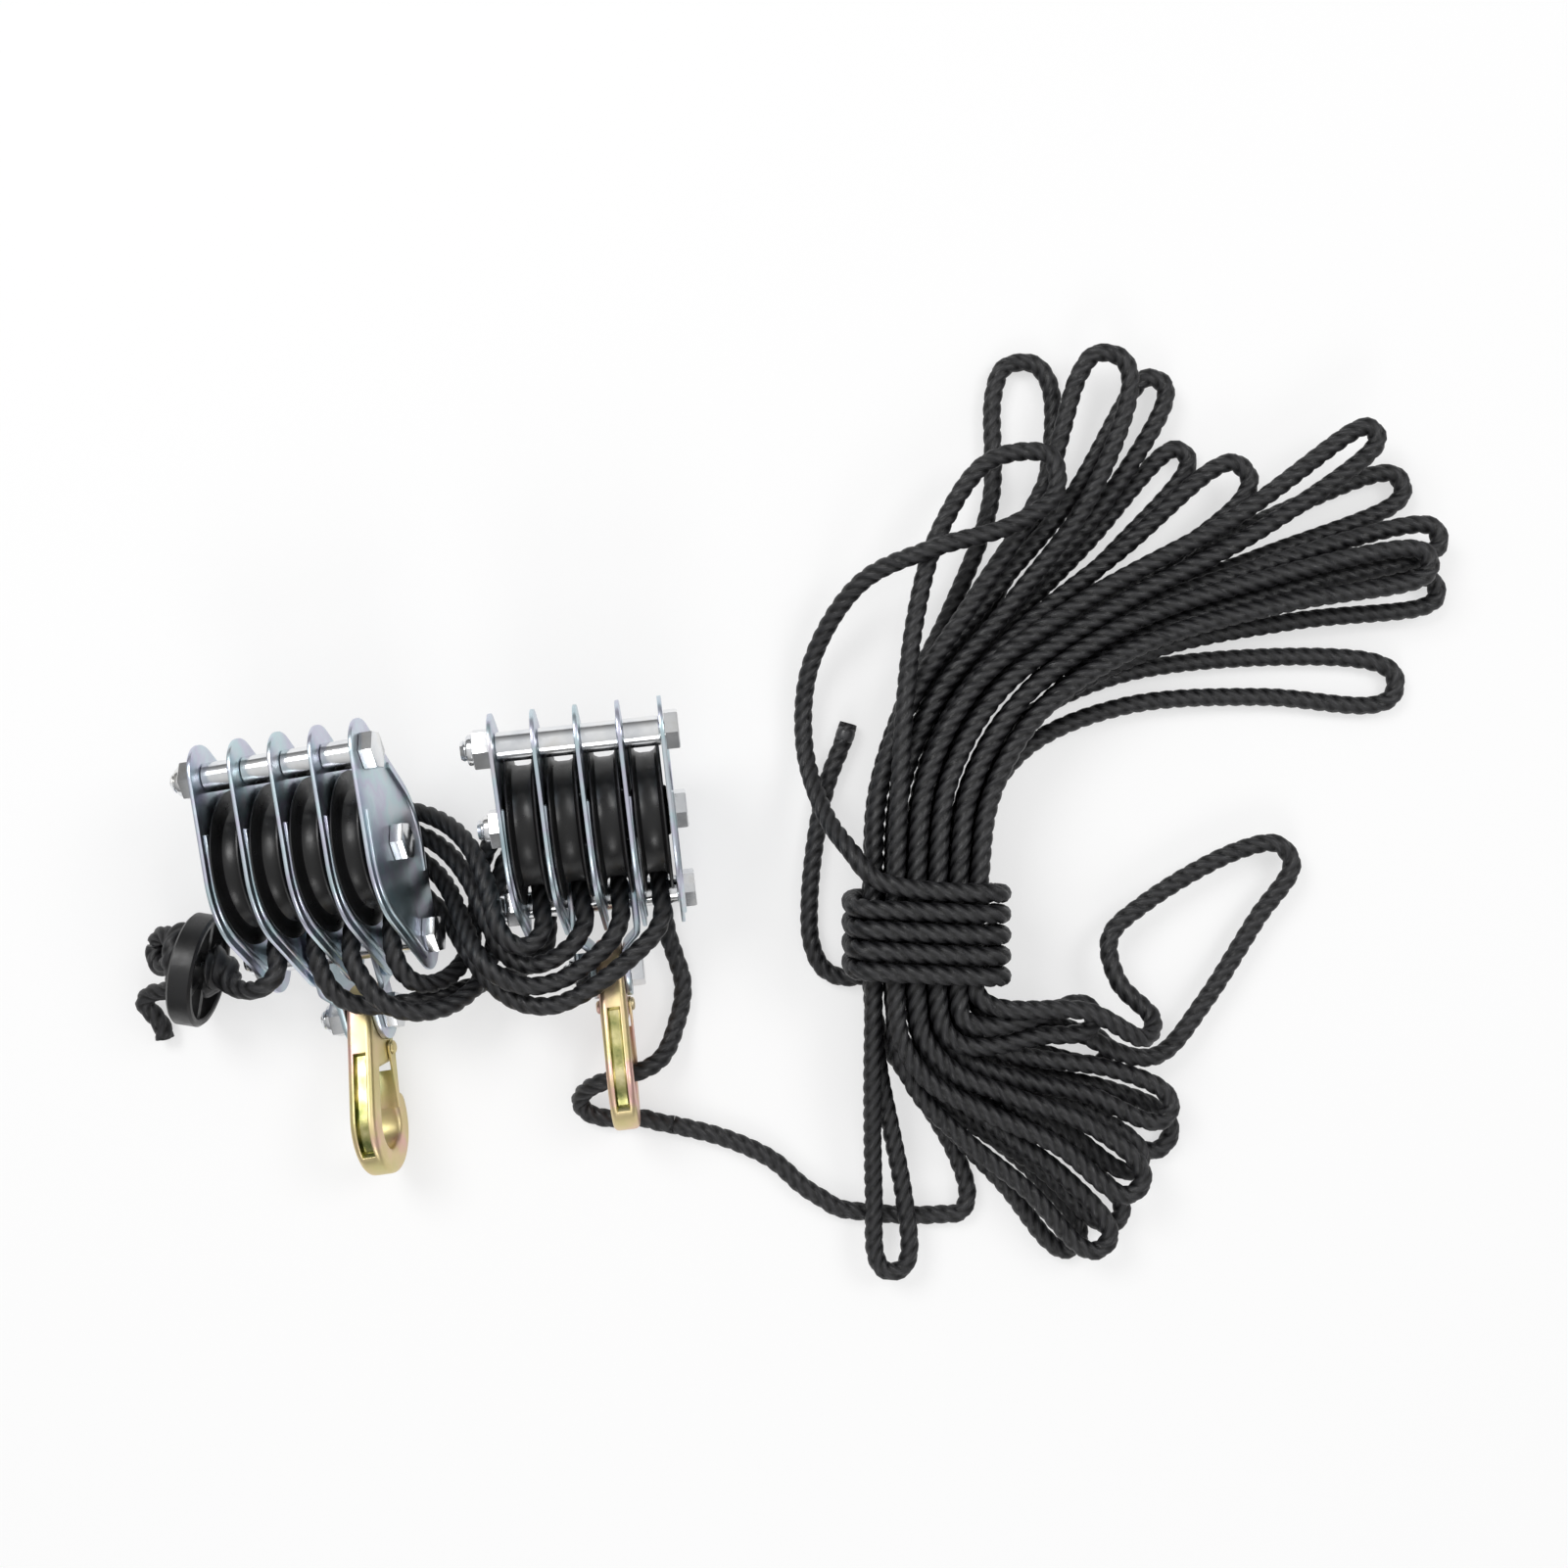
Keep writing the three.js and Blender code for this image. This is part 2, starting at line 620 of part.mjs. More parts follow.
const plate = plateGeometry();
const sheave = sheaveGeometry();
const bolt = toGeometry(boltSolid(-sideFaces, sideFaces));
const nut = toGeometry(nutSolid(-sideFaces, boltHoleRadius));
const clevisBolt = clevisBoltGeometry();
const hook = hookGeometry();
const latch = latchGeometry();
const anchors = [];

function blockMatrix({ heading, tilt, roll, x, y, lift }) {
  const matrix = new THREE.Matrix4()
    .multiply(new THREE.Matrix4().makeRotationZ(radians(heading)))
    .multiply(new THREE.Matrix4().makeRotationX(radians(tilt)))
    .multiply(new THREE.Matrix4().makeRotationY(radians(roll)));
  let lowest = Infinity;
  const corner = new THREE.Vector3();
  for (const station of [plateStations[0], plateStations.at(-1)]) {
    for (const point of plateOutline) {
      corner.set(station + Math.sign(station) * half(plateThickness), point.x, point.y);
      lowest = Math.min(lowest, corner.applyMatrix4(matrix).z);
    }
  }
  return matrix.setPosition(x, y, lift - lowest);
}

const blockMatrices = blocks.map(blockMatrix);

// The swing about the axles that gives a length on the hook side its rise or fall.
function swingFor(matrix, rise, length) {
  const e = matrix.elements;
  const slope = Math.hypot(e[6], e[10]);
  return Math.atan2(e[6], e[10]) + Math.asin(rise / length / slope);
}

blocks.forEach(({ name }, index) => {
  const matrix = blockMatrices[index];
  const put = (piece, geometry, look, local = new THREE.Matrix4()) => (
    tilted(`${name}_${piece}`, geometry, look, matrix.clone().multiply(local))
  );
  plateStations.forEach((x, i) => {
    put(`side_plate_${i + 1}`, plate, plateMetal, new THREE.Matrix4().makeTranslation(x, 0, 0));
  });
  bayStations.forEach((x, i) => {
    put(`sheave_${i + 1}`, sheave, plastic, new THREE.Matrix4().makeTranslation(x, 0, 0));
    const [from, to] = [x - half(bayWidth), x + half(bayWidth)];
    put(`top_spacer_${i + 1}`, spacerGeometry(from, to), zinc,
      new THREE.Matrix4().makeTranslation(0, topBoltDistance, 0));
    const legInner = legBoltOffset - half(legThickness);
    const lowerFrom = i === 1 ? -legInner : from;
    const lowerTo = i === 2 ? legInner : to;
    put(`bottom_spacer_${i + 1}`, spacerGeometry(lowerFrom, lowerTo), zinc,
      new THREE.Matrix4().makeTranslation(0, -bottomBoltDistance, 0));
  });
  const rows = { top: topBoltDistance, axle: 0, bottom: -bottomBoltDistance };
  for (const [row, y] of Object.entries(rows)) {
    put(`${row}_bolt`, bolt, zinc, new THREE.Matrix4().makeTranslation(0, y, 0));
    put(`${row}_nut`, nut, zinc, new THREE.Matrix4().makeTranslation(0, y, 0));
  }

  const bottomBolt = new THREE.Vector3(0, -bottomBoltDistance, 0).applyMatrix4(matrix);
  const rollRise = Math.abs(half(hookThickness) * matrix.elements[2]);
  const eyeHeight = hookEyeRadius + rollRise + hookFloorGap;
  const carrierSwing = swingFor(matrix, eyeHeight - bottomBolt.z, clevisDistance);
  const hookSwing = swingFor(matrix, hookBowlRadius - hookEyeRadius, hookBowlDistance);
  const carrier = new THREE.Matrix4().makeTranslation(0, -bottomBoltDistance, 0)
    .multiply(new THREE.Matrix4().makeRotationX(-carrierSwing));
  const clevis = new THREE.Vector3(0, -clevisDistance, 0).applyMatrix4(carrier);
  const hookPlace = new THREE.Matrix4().makeTranslation(clevis.x, clevis.y, clevis.z)
    .multiply(new THREE.Matrix4().makeRotationX(-hookSwing));
  put('carrier_leg_left', legGeometry(-1), zinc, carrier);
  put('carrier_leg_right', legGeometry(1), zinc, carrier);
  put('clevis_bolt', clevisBolt, zinc,
    carrier.clone().multiply(new THREE.Matrix4().makeTranslation(0, -clevisDistance, 0)));
  put('hook', hook, hookMetal, hookPlace);
  put('hook_latch', latch, zinc, hookPlace);

  const axis = axleX.clone().transformDirection(matrix);
  const note = (what, point) => anchors.push({ what: `${name} ${what}`, point, axis });
  bayStations.forEach((x, i) => {
    note(`sheave_${i + 1}`, new THREE.Vector3(x, 0, 0).applyMatrix4(matrix));
  });
  note(`carrier swing ${THREE.MathUtils.radToDeg(carrierSwing).toFixed(figureDigits)}`, bottomBolt);
  note(
    `hook swing ${THREE.MathUtils.radToDeg(hookSwing).toFixed(figureDigits)}`,
    clevis.clone().applyMatrix4(matrix),
  );
  note('latch', new THREE.Vector3(0, -latchPivotAlong, -latchPivotDrop)
    .applyMatrix4(hookPlace).applyMatrix4(matrix));
});

// Stopper ring at the standing end: its centre, and the way its axis points towards the rope

const ringCentre = new THREE.Vector3(...stopperCentre);
const ringAxis = new THREE.Vector3(...stopperHeading).normalize();
const ringMatrix = new THREE.Matrix4()
  .makeBasis(ringAxis, new THREE.Vector3(0, 0, 1).cross(ringAxis), new THREE.Vector3(0, 0, 1))
  .setPosition(ringCentre);
const alongRing = (distance) => ringCentre.clone().addScaledVector(ringAxis, distance);

function stopperGeometry() {
  const faces = [-half(stopperWidth), half(stopperWidth)];
  const webs = [-half(stopperWebWidth), half(stopperWebWidth)];
  let wheel = drawnOut(
    circle(stopperRadius, stopperSides), [circle(stopperRadius - stopperRimDepth, stopperSides)], ...faces,
  ).add(drawnOut(circle(stopperHubRadius, ringBoreSides), [], ...faces));
  const inner = half(stopperHubRadius);
  const outer = stopperRadius - half(stopperRimDepth);
  for (let i = 0; i < stopperSpokes; i += 1) {
    const spoke = drawnOut([
      new THREE.Vector2(inner, -half(stopperSpokeWidth)),
      new THREE.Vector2(outer, -half(stopperSpokeWidth)),
      new THREE.Vector2(outer, half(stopperSpokeWidth)),
      new THREE.Vector2(inner, half(stopperSpokeWidth)),
    ], [], ...webs);
    wheel = wheel.add(spoke.rotate([360 * i / stopperSpokes, 0, 0]));
  }
  const bore = circle(stopperBoreRadius, ringBoreSides);
  return toGeometry(wheel.subtract(drawnOut(bore, [], -stopperWidth, stopperWidth)));
}

tilted('left_stopper_ring', stopperGeometry(), plastic, ringMatrix);

// Rope tubes: a route is a list of stations, each with its own direction

const points = (list) => list.map((place) => new THREE.Vector3(...place));

class Stations extends THREE.Curve {
  constructor(places) {
    super();
    this.places = places;
  }

  index(share) {
    return Math.round(share * (this.places.length - 1));
  }

  getPointAt(share) {
    return this.places[this.index(share)].clone();
  }

  getTangentAt(share) {
    const here = this.index(share);
    const way = new THREE.Vector3();
    for (const [from, to] of [[here - 1, here], [here, here + 1]]) {
      if (from >= 0 && to < this.places.length) {
        way.add(this.places[to].clone().sub(this.places[from]).normalize());
      }
    }
    return way.normalize();
  }
}

function tubeGeometry(places, sides) {
  const section = new THREE.Shape(circle(half(ropeDiameter), sides));
  const geometry = new THREE.ExtrudeGeometry(section, {
    steps: places.length - 1, extrudePath: new Stations(places),
  });
  geometry.deleteAttribute('uv');
  geometry.deleteAttribute('normal');
  return mergeVertices(geometry);
}

// Stations on a smooth route, as far apart as the bow of the rope between them allows.
function stationsAlong(list) {
  const curve = new THREE.CatmullRomCurve3(list, false, 'centripetal');
  const fine = curve.getPoints(finePerPoint * (list.length - 1));
  const stations = [fine[0]];
  let from = 0;
  const line = new THREE.Line3();
  const nearest = new THREE.Vector3();
  for (let to = 2; to < fine.length; to += 1) {
    line.set(fine[from], fine[to]);
    let bow = 0;
    for (let i = from + 1; i < to; i += 1) {
      line.closestPointToPoint(fine[i], true, nearest);
      bow = Math.max(bow, nearest.distanceTo(fine[i]));
    }
    if (bow > routeBow || line.distance() > routeStep) {
      from = to - 1;
      stations.push(fine[from]);
    }
  }
  stations.push(fine.at(-1));
  return stations;
}

// The least gap of a rope to itself, between places further along it than a bend.
function leastGap(places) {
  const spots = [];
  let run = 0;
  for (let i = 1; i < places.length; i += 1) {
    const length = places[i - 1].distanceTo(places[i]);
    const count = Math.max(1, Math.round(length / gapStep));
    for (let k = 0; k < count; k += 1) {
      const spot = places[i - 1].clone().lerp(places[i], k / count);
      spots.push({ spot, along: run + length * k / count });
    }
    run += length;
  }
  let least = Infinity;
  for (const a of spots) {
    for (const b of spots) {
      if (b.along - a.along > gapBendLength) {
        least = Math.min(least, a.spot.distanceTo(b.spot) - ropeDiameter);
      }
    }
  }
  return { least, run };
}

// Reeved rope. Each part of the route enters a sheave's bay from the hook side, follows
// the sheave's bed until it leaves it at an angle in degrees, and then runs to the next bay.

function bayRoute({ block, sheave: number, shift, leave }) {
  const matrix = blockMatrices[blocks.findIndex(({ name }) => name === block)];
  const x = bayStations[number - 1];
  const place = (dx, y, z) => new THREE.Vector3(x + dx, y, z).applyMatrix4(matrix);
  const count = 1 + Math.round((leave - bedStart) / bedStep);
  return [
    ...bayEntry.map(([y, z, share]) => place(shift * share, y, z)),
    ...Array.from({ length: count }, (_, i) => {
      const angle = radians(count > 1 ? bedStart + (leave - bedStart) * i / (count - 1) : bedStart);
      return place(0, ropeBedRadius * Math.cos(angle), ropeBedRadius * Math.sin(angle));
    }),
  ];
}

// A joint between two lengths of the rope: square cuts, each end straight for a diameter
const handOver = (from, to) => {
  const way = to.clone().sub(from).normalize();
  return {
    arriving: [from, from.clone().addScaledVector(way, ropeDiameter)],
    leaving: [
      from.clone().addScaledVector(way, ropeDiameter + seatGap),
      from.clone().addScaledVector(way, 2 * ropeDiameter + seatGap),
    ],
  };
};
const hookJoint = handOver(...points(hookJointLine));
const hankJoint = handOver(...points(hankJointLine));

const tailRoute = points(tail);
const reevedStations = stationsAlong([
  alongRing(-knotReach),
  alongRing(-half(stopperWidth)),
  alongRing(stopperWidth),
  ...tailRoute,
  ...falls.flatMap((fall) => [...bayRoute(fall), ...points(fall.run)]),
  ...hookJoint.arriving,
]);

// The strands open out over the ring's face and draw in to the rope.
function flareSolid() {
  const neck = tailRoute[0];
  const way = tailRoute[1].clone().sub(neck).normalize();
  const ringFace = new THREE.Quaternion().setFromUnitVectors(axleX, ringAxis);
  const neckFace = new THREE.Quaternion().setFromUnitVectors(axleX, way);
  const rim = (radius, turn, centre) => circle(radius, flareSides).map((point) => (
    new THREE.Vector3(0, point.x, point.y).applyQuaternion(turn).add(centre).toArray()
  ));
  return wasm.Manifold.hull([
    ...rim(flareRadius, ringFace, alongRing(half(stopperWidth) + seatGap)),
    ...rim(half(ropeDiameter), neckFace, neck),
  ]);
}

// The stopper knot behind the ring: two turns of the rope, a bight and the cut end
function knotSolid() {
  const coil = ({ radius, along, side, rise, lean }) => {
    const turn = new THREE.TorusGeometry(radius, half(ropeDiameter), ropeSides, knotSteps);
    const matrix = new THREE.Matrix4()
      .multiply(ringMatrix)
      .multiply(new THREE.Matrix4().makeTranslation(along, side, rise))
      .multiply(new THREE.Matrix4().makeRotationY(half(Math.PI) + radians(lean)));
    return toSolid(turn.applyMatrix4(matrix));
  };
  const end = toSolid(tubeGeometry(stationsAlong(points(knotEnd)), ropeSides));
  return knotTurns.map(coil).reduce((knot, turn) => knot.add(turn), end);
}

tilted(
  'reeved_rope',
  toGeometry(toSolid(tubeGeometry(reevedStations, ropeSides)).add(flareSolid()).add(knotSolid())),
  fibre,
  new THREE.Matrix4(),
);

const freeStations = stationsAlong([
  ...hookJoint.leaving, ...points(freeRun), ...hankJoint.arriving,
]);
tilted('free_rope', tubeGeometry(freeStations, ropeSides), fibre, new THREE.Matrix4());

// Hank. The rope passes the waist in layers, going up in one pass and down in the next, and
// turns round a tip between one pass and the next.

const waist = new THREE.Vector3(...hankWaist);
const layerHeight = (layer) => waist.z + (layer - half(hankLayers - 1)) * hankPitch;
const slotPlace = (slot) => waist.x + (slot - half(hankSlots - 1)) * hankPitch;

const passes = Array.from({ length: hankLayers * hankSlots }, (_, i) => {
  const layer = Math.floor(i / hankSlots);
  const inLayer = i % hankSlots;
  const slot = layer % 2 ? hankSlots - 1 - inLayer : inLayer;
  return { x: slotPlace(slot), z: layerHeight(layer), way: i % 2 ? -1 : 1 };
});

const eased = (share) => share * share * (3 - 2 * share);

// One side of a loop, from the waist to where the tip's bend begins.
function loopSide(from, way, to, heading) {
  const reach = Math.hypot(to.x - from.x, to.y - from.y) * loopHandleShare;
  const curve = new THREE.CubicBezierCurve(
    new THREE.Vector2(from.x, from.y),
    new THREE.Vector2(from.x, from.y + way * reach),
    new THREE.Vector2(to.x - Math.cos(heading) * reach, to.y - Math.sin(heading) * reach),
    new THREE.Vector2(to.x, to.y),
  );
  return loopShares.map((share) => {
    const spot = curve.getPoint(share);
    return new THREE.Vector3(spot.x, spot.y, from.z + (to.z - from.z) * eased(share));
  });
}

function loopBetween(pass, next, turn) {
  const start = new THREE.Vector3(pass.x, waist.y + pass.way * waistReach, pass.z);
  const finish = new THREE.Vector3(next.x, start.y, next.z);
  if (turn.by) {
    const heights = turn.by.map((place, i) => {
      const share = (i + 1) / (turn.by.length + 1);
      const [level, inner] = share < half(1) ? [pass.z, share] : [next.z, 1 - share];
      return place[2] ?? level + (turn.level - level) * eased(Math.min(1, inner * hankDropRate));
    });
    return turn.by.map(([x, y], i) => new THREE.Vector3(x, y, heights[i]));
  }
  const [x, y, z] = turn.tip;
  const heading = radians(turn.heading);
  const side = (pass.x <= next.x && pass.x !== next.x ? 1 : -1) * pass.way;
  const bend = Array.from({ length: tipSteps + 1 }, (_, i) => {
    const angle = heading + side * (half(Math.PI) - Math.PI * i / tipSteps);
    return new THREE.Vector3(x + turn.radius * Math.cos(angle), y + turn.radius * Math.sin(angle), z);
  });
  return [
    ...loopSide(start, pass.way, bend[0], heading),
    ...bend,
    ...loopSide(finish, pass.way, bend.at(-1), heading).reverse(),
  ];
}

// Turns of the rope's end round the waist, each a rounded box of corners
function wrapPlaces() {
  const wide = half(hankSlots - 1) * hankPitch;
  const high = half(hankLayers - 1) * hankPitch;
  const corners = [[wide, high, 90], [wide, -high, 0], [-wide, -high, -90], [-wide, high, -180]];
  const ring = corners.flatMap(([x, z, from]) => Array.from({ length: wrapCornerSteps + 1 }, (_, i) => {
    const angle = radians(from - 90 * i / wrapCornerSteps);
    return new THREE.Vector2(x + wrapRadius * Math.cos(angle), z + wrapRadius * Math.sin(angle));
  }));
  const runs = ring.map((place, i) => place.distanceTo(ring.at(i - 1)));
  const whole = runs.reduce((sum, run) => sum + run);
  let run = 0;
  return Array.from({ length: wrapStations }, (_, i) => {
    const place = ring[i % ring.length];
    run += i ? runs[i % ring.length] : 0;
    return new THREE.Vector3(
      waist.x + place.x, waist.y + wrapStart - wrapAdvance * run / whole, waist.z + place.y,
    );
  });
}

const hankRoute = [];
const hankHeld = [];
const lay = (places, held) => places.forEach((place) => {
  hankRoute.push(place.clone());
  hankHeld.push(held);
});
lay(hankJoint.leaving, true);
lay(points(hankLeadIn), false);
passes.slice(0, -1).forEach((pass, i) => {
  lay([-1, 1].map((end) => (
    new THREE.Vector3(pass.x, waist.y + end * pass.way * waistReach, pass.z)
  )), true);
  lay(loopBetween(pass, passes[i + 1], hankTurns[i]), false);
});
lay(points(wrapLeadIn), true);
lay(wrapPlaces(), true);
lay(points(hankEnd), false);
hankHeld.fill(true, -2);

// The loops settle: each sinks a little and is pushed clear of the strands beside it.
function settle(route, held) {
  const first = route.map((place) => place.clone());
  const lowest = half(ropeDiameter) + hankFloorGap;
  const along = [0];
  for (let i = 1; i < route.length; i += 1) {
    along.push(along[i - 1] + route[i].distanceTo(route[i - 1]));
  }
  const nearest = (i, j) => {
    const u = route[i + 1].clone().sub(route[i]);
    const v = route[j + 1].clone().sub(route[j]);
    const w = route[i].clone().sub(route[j]);
    const spread = u.dot(u) * v.dot(v) - u.dot(v) ** 2;
    const clamp = (value) => THREE.MathUtils.clamp(value, 0, 1);
    let s = clamp((u.dot(v) * v.dot(w) - v.dot(v) * u.dot(w)) / Math.max(spread, Number.EPSILON));
    let t = (u.dot(v) * s + v.dot(w)) / v.dot(v);
    if (t !== clamp(t)) {
      t = clamp(t);
      s = clamp((u.dot(v) * t - u.dot(w)) / u.dot(u));
    }
    const push = w.addScaledVector(u, s).addScaledVector(v, -t);
    return { s, t, push, distance: push.length() };
  };
  let pairs = [];
  for (let round = 0; round < settleRounds; round += 1) {
    if (round % settlePairRounds === 0) {
      pairs = [];
      for (let i = 0; i < route.length - 1; i += 1) {
        for (let j = i + 2; j < route.length - 1; j += 1) {
          const fixed = held[i] && held[i + 1] && held[j] && held[j + 1];
          if (!fixed && along[j] - along[i + 1] > 2 * ropeDiameter
            && nearest(i, j).distance < settleDistance + ropeDiameter) pairs.push([i, j]);
        }
      }
    }
    const share = round / settleRounds;
    route.forEach((place, i) => {
      if (!held[i]) place.z = Math.max(lowest, place.z - (share < sinkShare ? settleSink : 0));
    });
    for (let sweep = 0; sweep < settleSweeps; sweep += 1) {
      for (const [i, j] of pairs) {
        const { s, t, push, distance } = nearest(i, j);
        const weights = [[i, 1 - s, 1], [i + 1, s, 1], [j, 1 - t, -1], [j + 1, t, -1]]
          .filter(([at, weight]) => !held[at] && weight > 0);
        const total = weights.reduce((sum, [, weight]) => sum + weight ** 2, 0);
        if (distance < settleDistance && total > 0) {
          const size = half(settleDistance - distance) / Math.max(total, settleFirmness) / distance;
          for (const [at, weight, sign] of weights) {
            route[at].addScaledVector(push, sign * weight * size);
            route[at].z = Math.max(lowest, route[at].z);
          }
        }
      }
    }
    if (share < easeShare) {
      const moved = route.map((place, i) => place.clone().sub(first[i]));
      for (let i = 1; i < route.length - 1; i += 1) {
        if (!held[i]) {
          const even = moved[i - 1].clone().add(moved[i + 1]).multiplyScalar(half(1)).sub(moved[i]);
          route[i].addScaledVector(even, settleEase);
        }
      }
    }
  }
}
settle(hankRoute, hankHeld);
tilted('rope_hank', tubeGeometry(hankRoute, hankSides), fibre, new THREE.Matrix4());

// The middle of the blocks' footprint stands over the origin.

const bounds = new THREE.Box3();
for (const mesh of group.children) {
  mesh.geometry.computeBoundingBox();
  if (!['free_rope', 'rope_hank'].includes(mesh.name)) bounds.union(mesh.geometry.boundingBox);
}
const shift = bounds.getCenter(new THREE.Vector3()).negate().setZ(-bounds.min.z);
for (const mesh of group.children) mesh.geometry.translate(...shift.toArray());

// Gaps, lengths and turning points, in millimetres

const figures = (values) => values.map((value) => Number(value.toFixed(figureDigits))).join(' ');
console.log('shift', figures(shift.toArray()));
for (const [name, route] of Object.entries({
  reeved_rope: reevedStations, free_rope: freeStations, rope_hank: hankRoute,
})) {
  const { least, run } = leastGap(route);
  console.log(name, 'stations', route.length, 'length and least gap', figures([run, least]));
}
for (const { what, point, axis } of anchors) {
  console.log(what, figures(point.add(shift).toArray()), 'axis', figures(axis.toArray()));
}

export default group;
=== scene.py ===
# %% [markdown]
# # Block and tackle
# Two pulley blocks lie on a pale floor with a black laid rope rove between them. The packed
# solids are the fixed frame: every piece made here takes its place from them and stands for one
# or more of their nodes.

# %% Load the frame
import math

import bmesh
import bpy
import numpy as np
from mathutils import Matrix, Vector


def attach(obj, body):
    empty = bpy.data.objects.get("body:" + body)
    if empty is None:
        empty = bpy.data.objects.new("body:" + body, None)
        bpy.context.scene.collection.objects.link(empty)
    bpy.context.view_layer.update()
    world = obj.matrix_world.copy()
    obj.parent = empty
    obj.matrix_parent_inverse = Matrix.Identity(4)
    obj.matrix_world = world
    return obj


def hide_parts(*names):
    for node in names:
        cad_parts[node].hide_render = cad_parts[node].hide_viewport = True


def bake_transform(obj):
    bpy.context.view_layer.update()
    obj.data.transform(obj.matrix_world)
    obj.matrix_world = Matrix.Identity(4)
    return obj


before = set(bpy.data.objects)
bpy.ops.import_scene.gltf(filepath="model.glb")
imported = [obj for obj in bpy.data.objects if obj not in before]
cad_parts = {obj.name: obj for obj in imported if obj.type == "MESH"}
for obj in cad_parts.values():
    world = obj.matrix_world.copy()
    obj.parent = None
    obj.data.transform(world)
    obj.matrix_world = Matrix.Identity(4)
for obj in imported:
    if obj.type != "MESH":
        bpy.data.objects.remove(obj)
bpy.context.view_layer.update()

MM = 0.001


def in_scene(name, data):
    """An object with the given data, linked to the scene."""
    made = bpy.data.objects.new(name, data)
    bpy.context.collection.objects.link(made)
    return made


def mesh_from(bm, name, *looks):
    mesh = bpy.data.meshes.new(name)
    bm.to_mesh(mesh)
    bm.free()
    for look in looks:
        mesh.materials.append(look)
    return mesh


def all_smooth(mesh):
    mesh.polygons.foreach_set("use_smooth", [True] * len(mesh.polygons))


# %% [markdown]
# ## Camera
# The picture was taken from straight above, about 0.87 m up, with a moderately long lens. A camera
# with no tilt and its top towards +Y gives the same overlaps of plates, hooks and loops.

# %% Camera over the middle of the picture
CAMERA_PLACE = (0.18653, 0.07691, 0.865)
FOCAL_PIXELS, PICTURE_PIXELS = 1716, 1601
SENSOR_WIDTH = 36

eye = bpy.data.cameras.new("camera_above")
eye.lens = FOCAL_PIXELS / PICTURE_PIXELS * SENSOR_WIDTH
eye.sensor_width = SENSOR_WIDTH
camera = in_scene("camera_above", eye)
camera.location = CAMERA_PLACE
bpy.context.scene.camera = camera
bpy.context.scene.view_settings.view_transform = "Standard"
print("lens", round(eye.lens, 2), "mm")

# %% [markdown]
# ## The rope's line
# The rope is one length: it starts at the knot behind the stopper ring, is rove through the eight
# sheaves, passes through the right hook and ends in a hank. Its stations are written in tenths
# of a millimetre, and a smooth curve is drawn through them, because a rope has no corners. The
# turns round the hank's waist are one turn that is repeated, a rope's width further down each time.

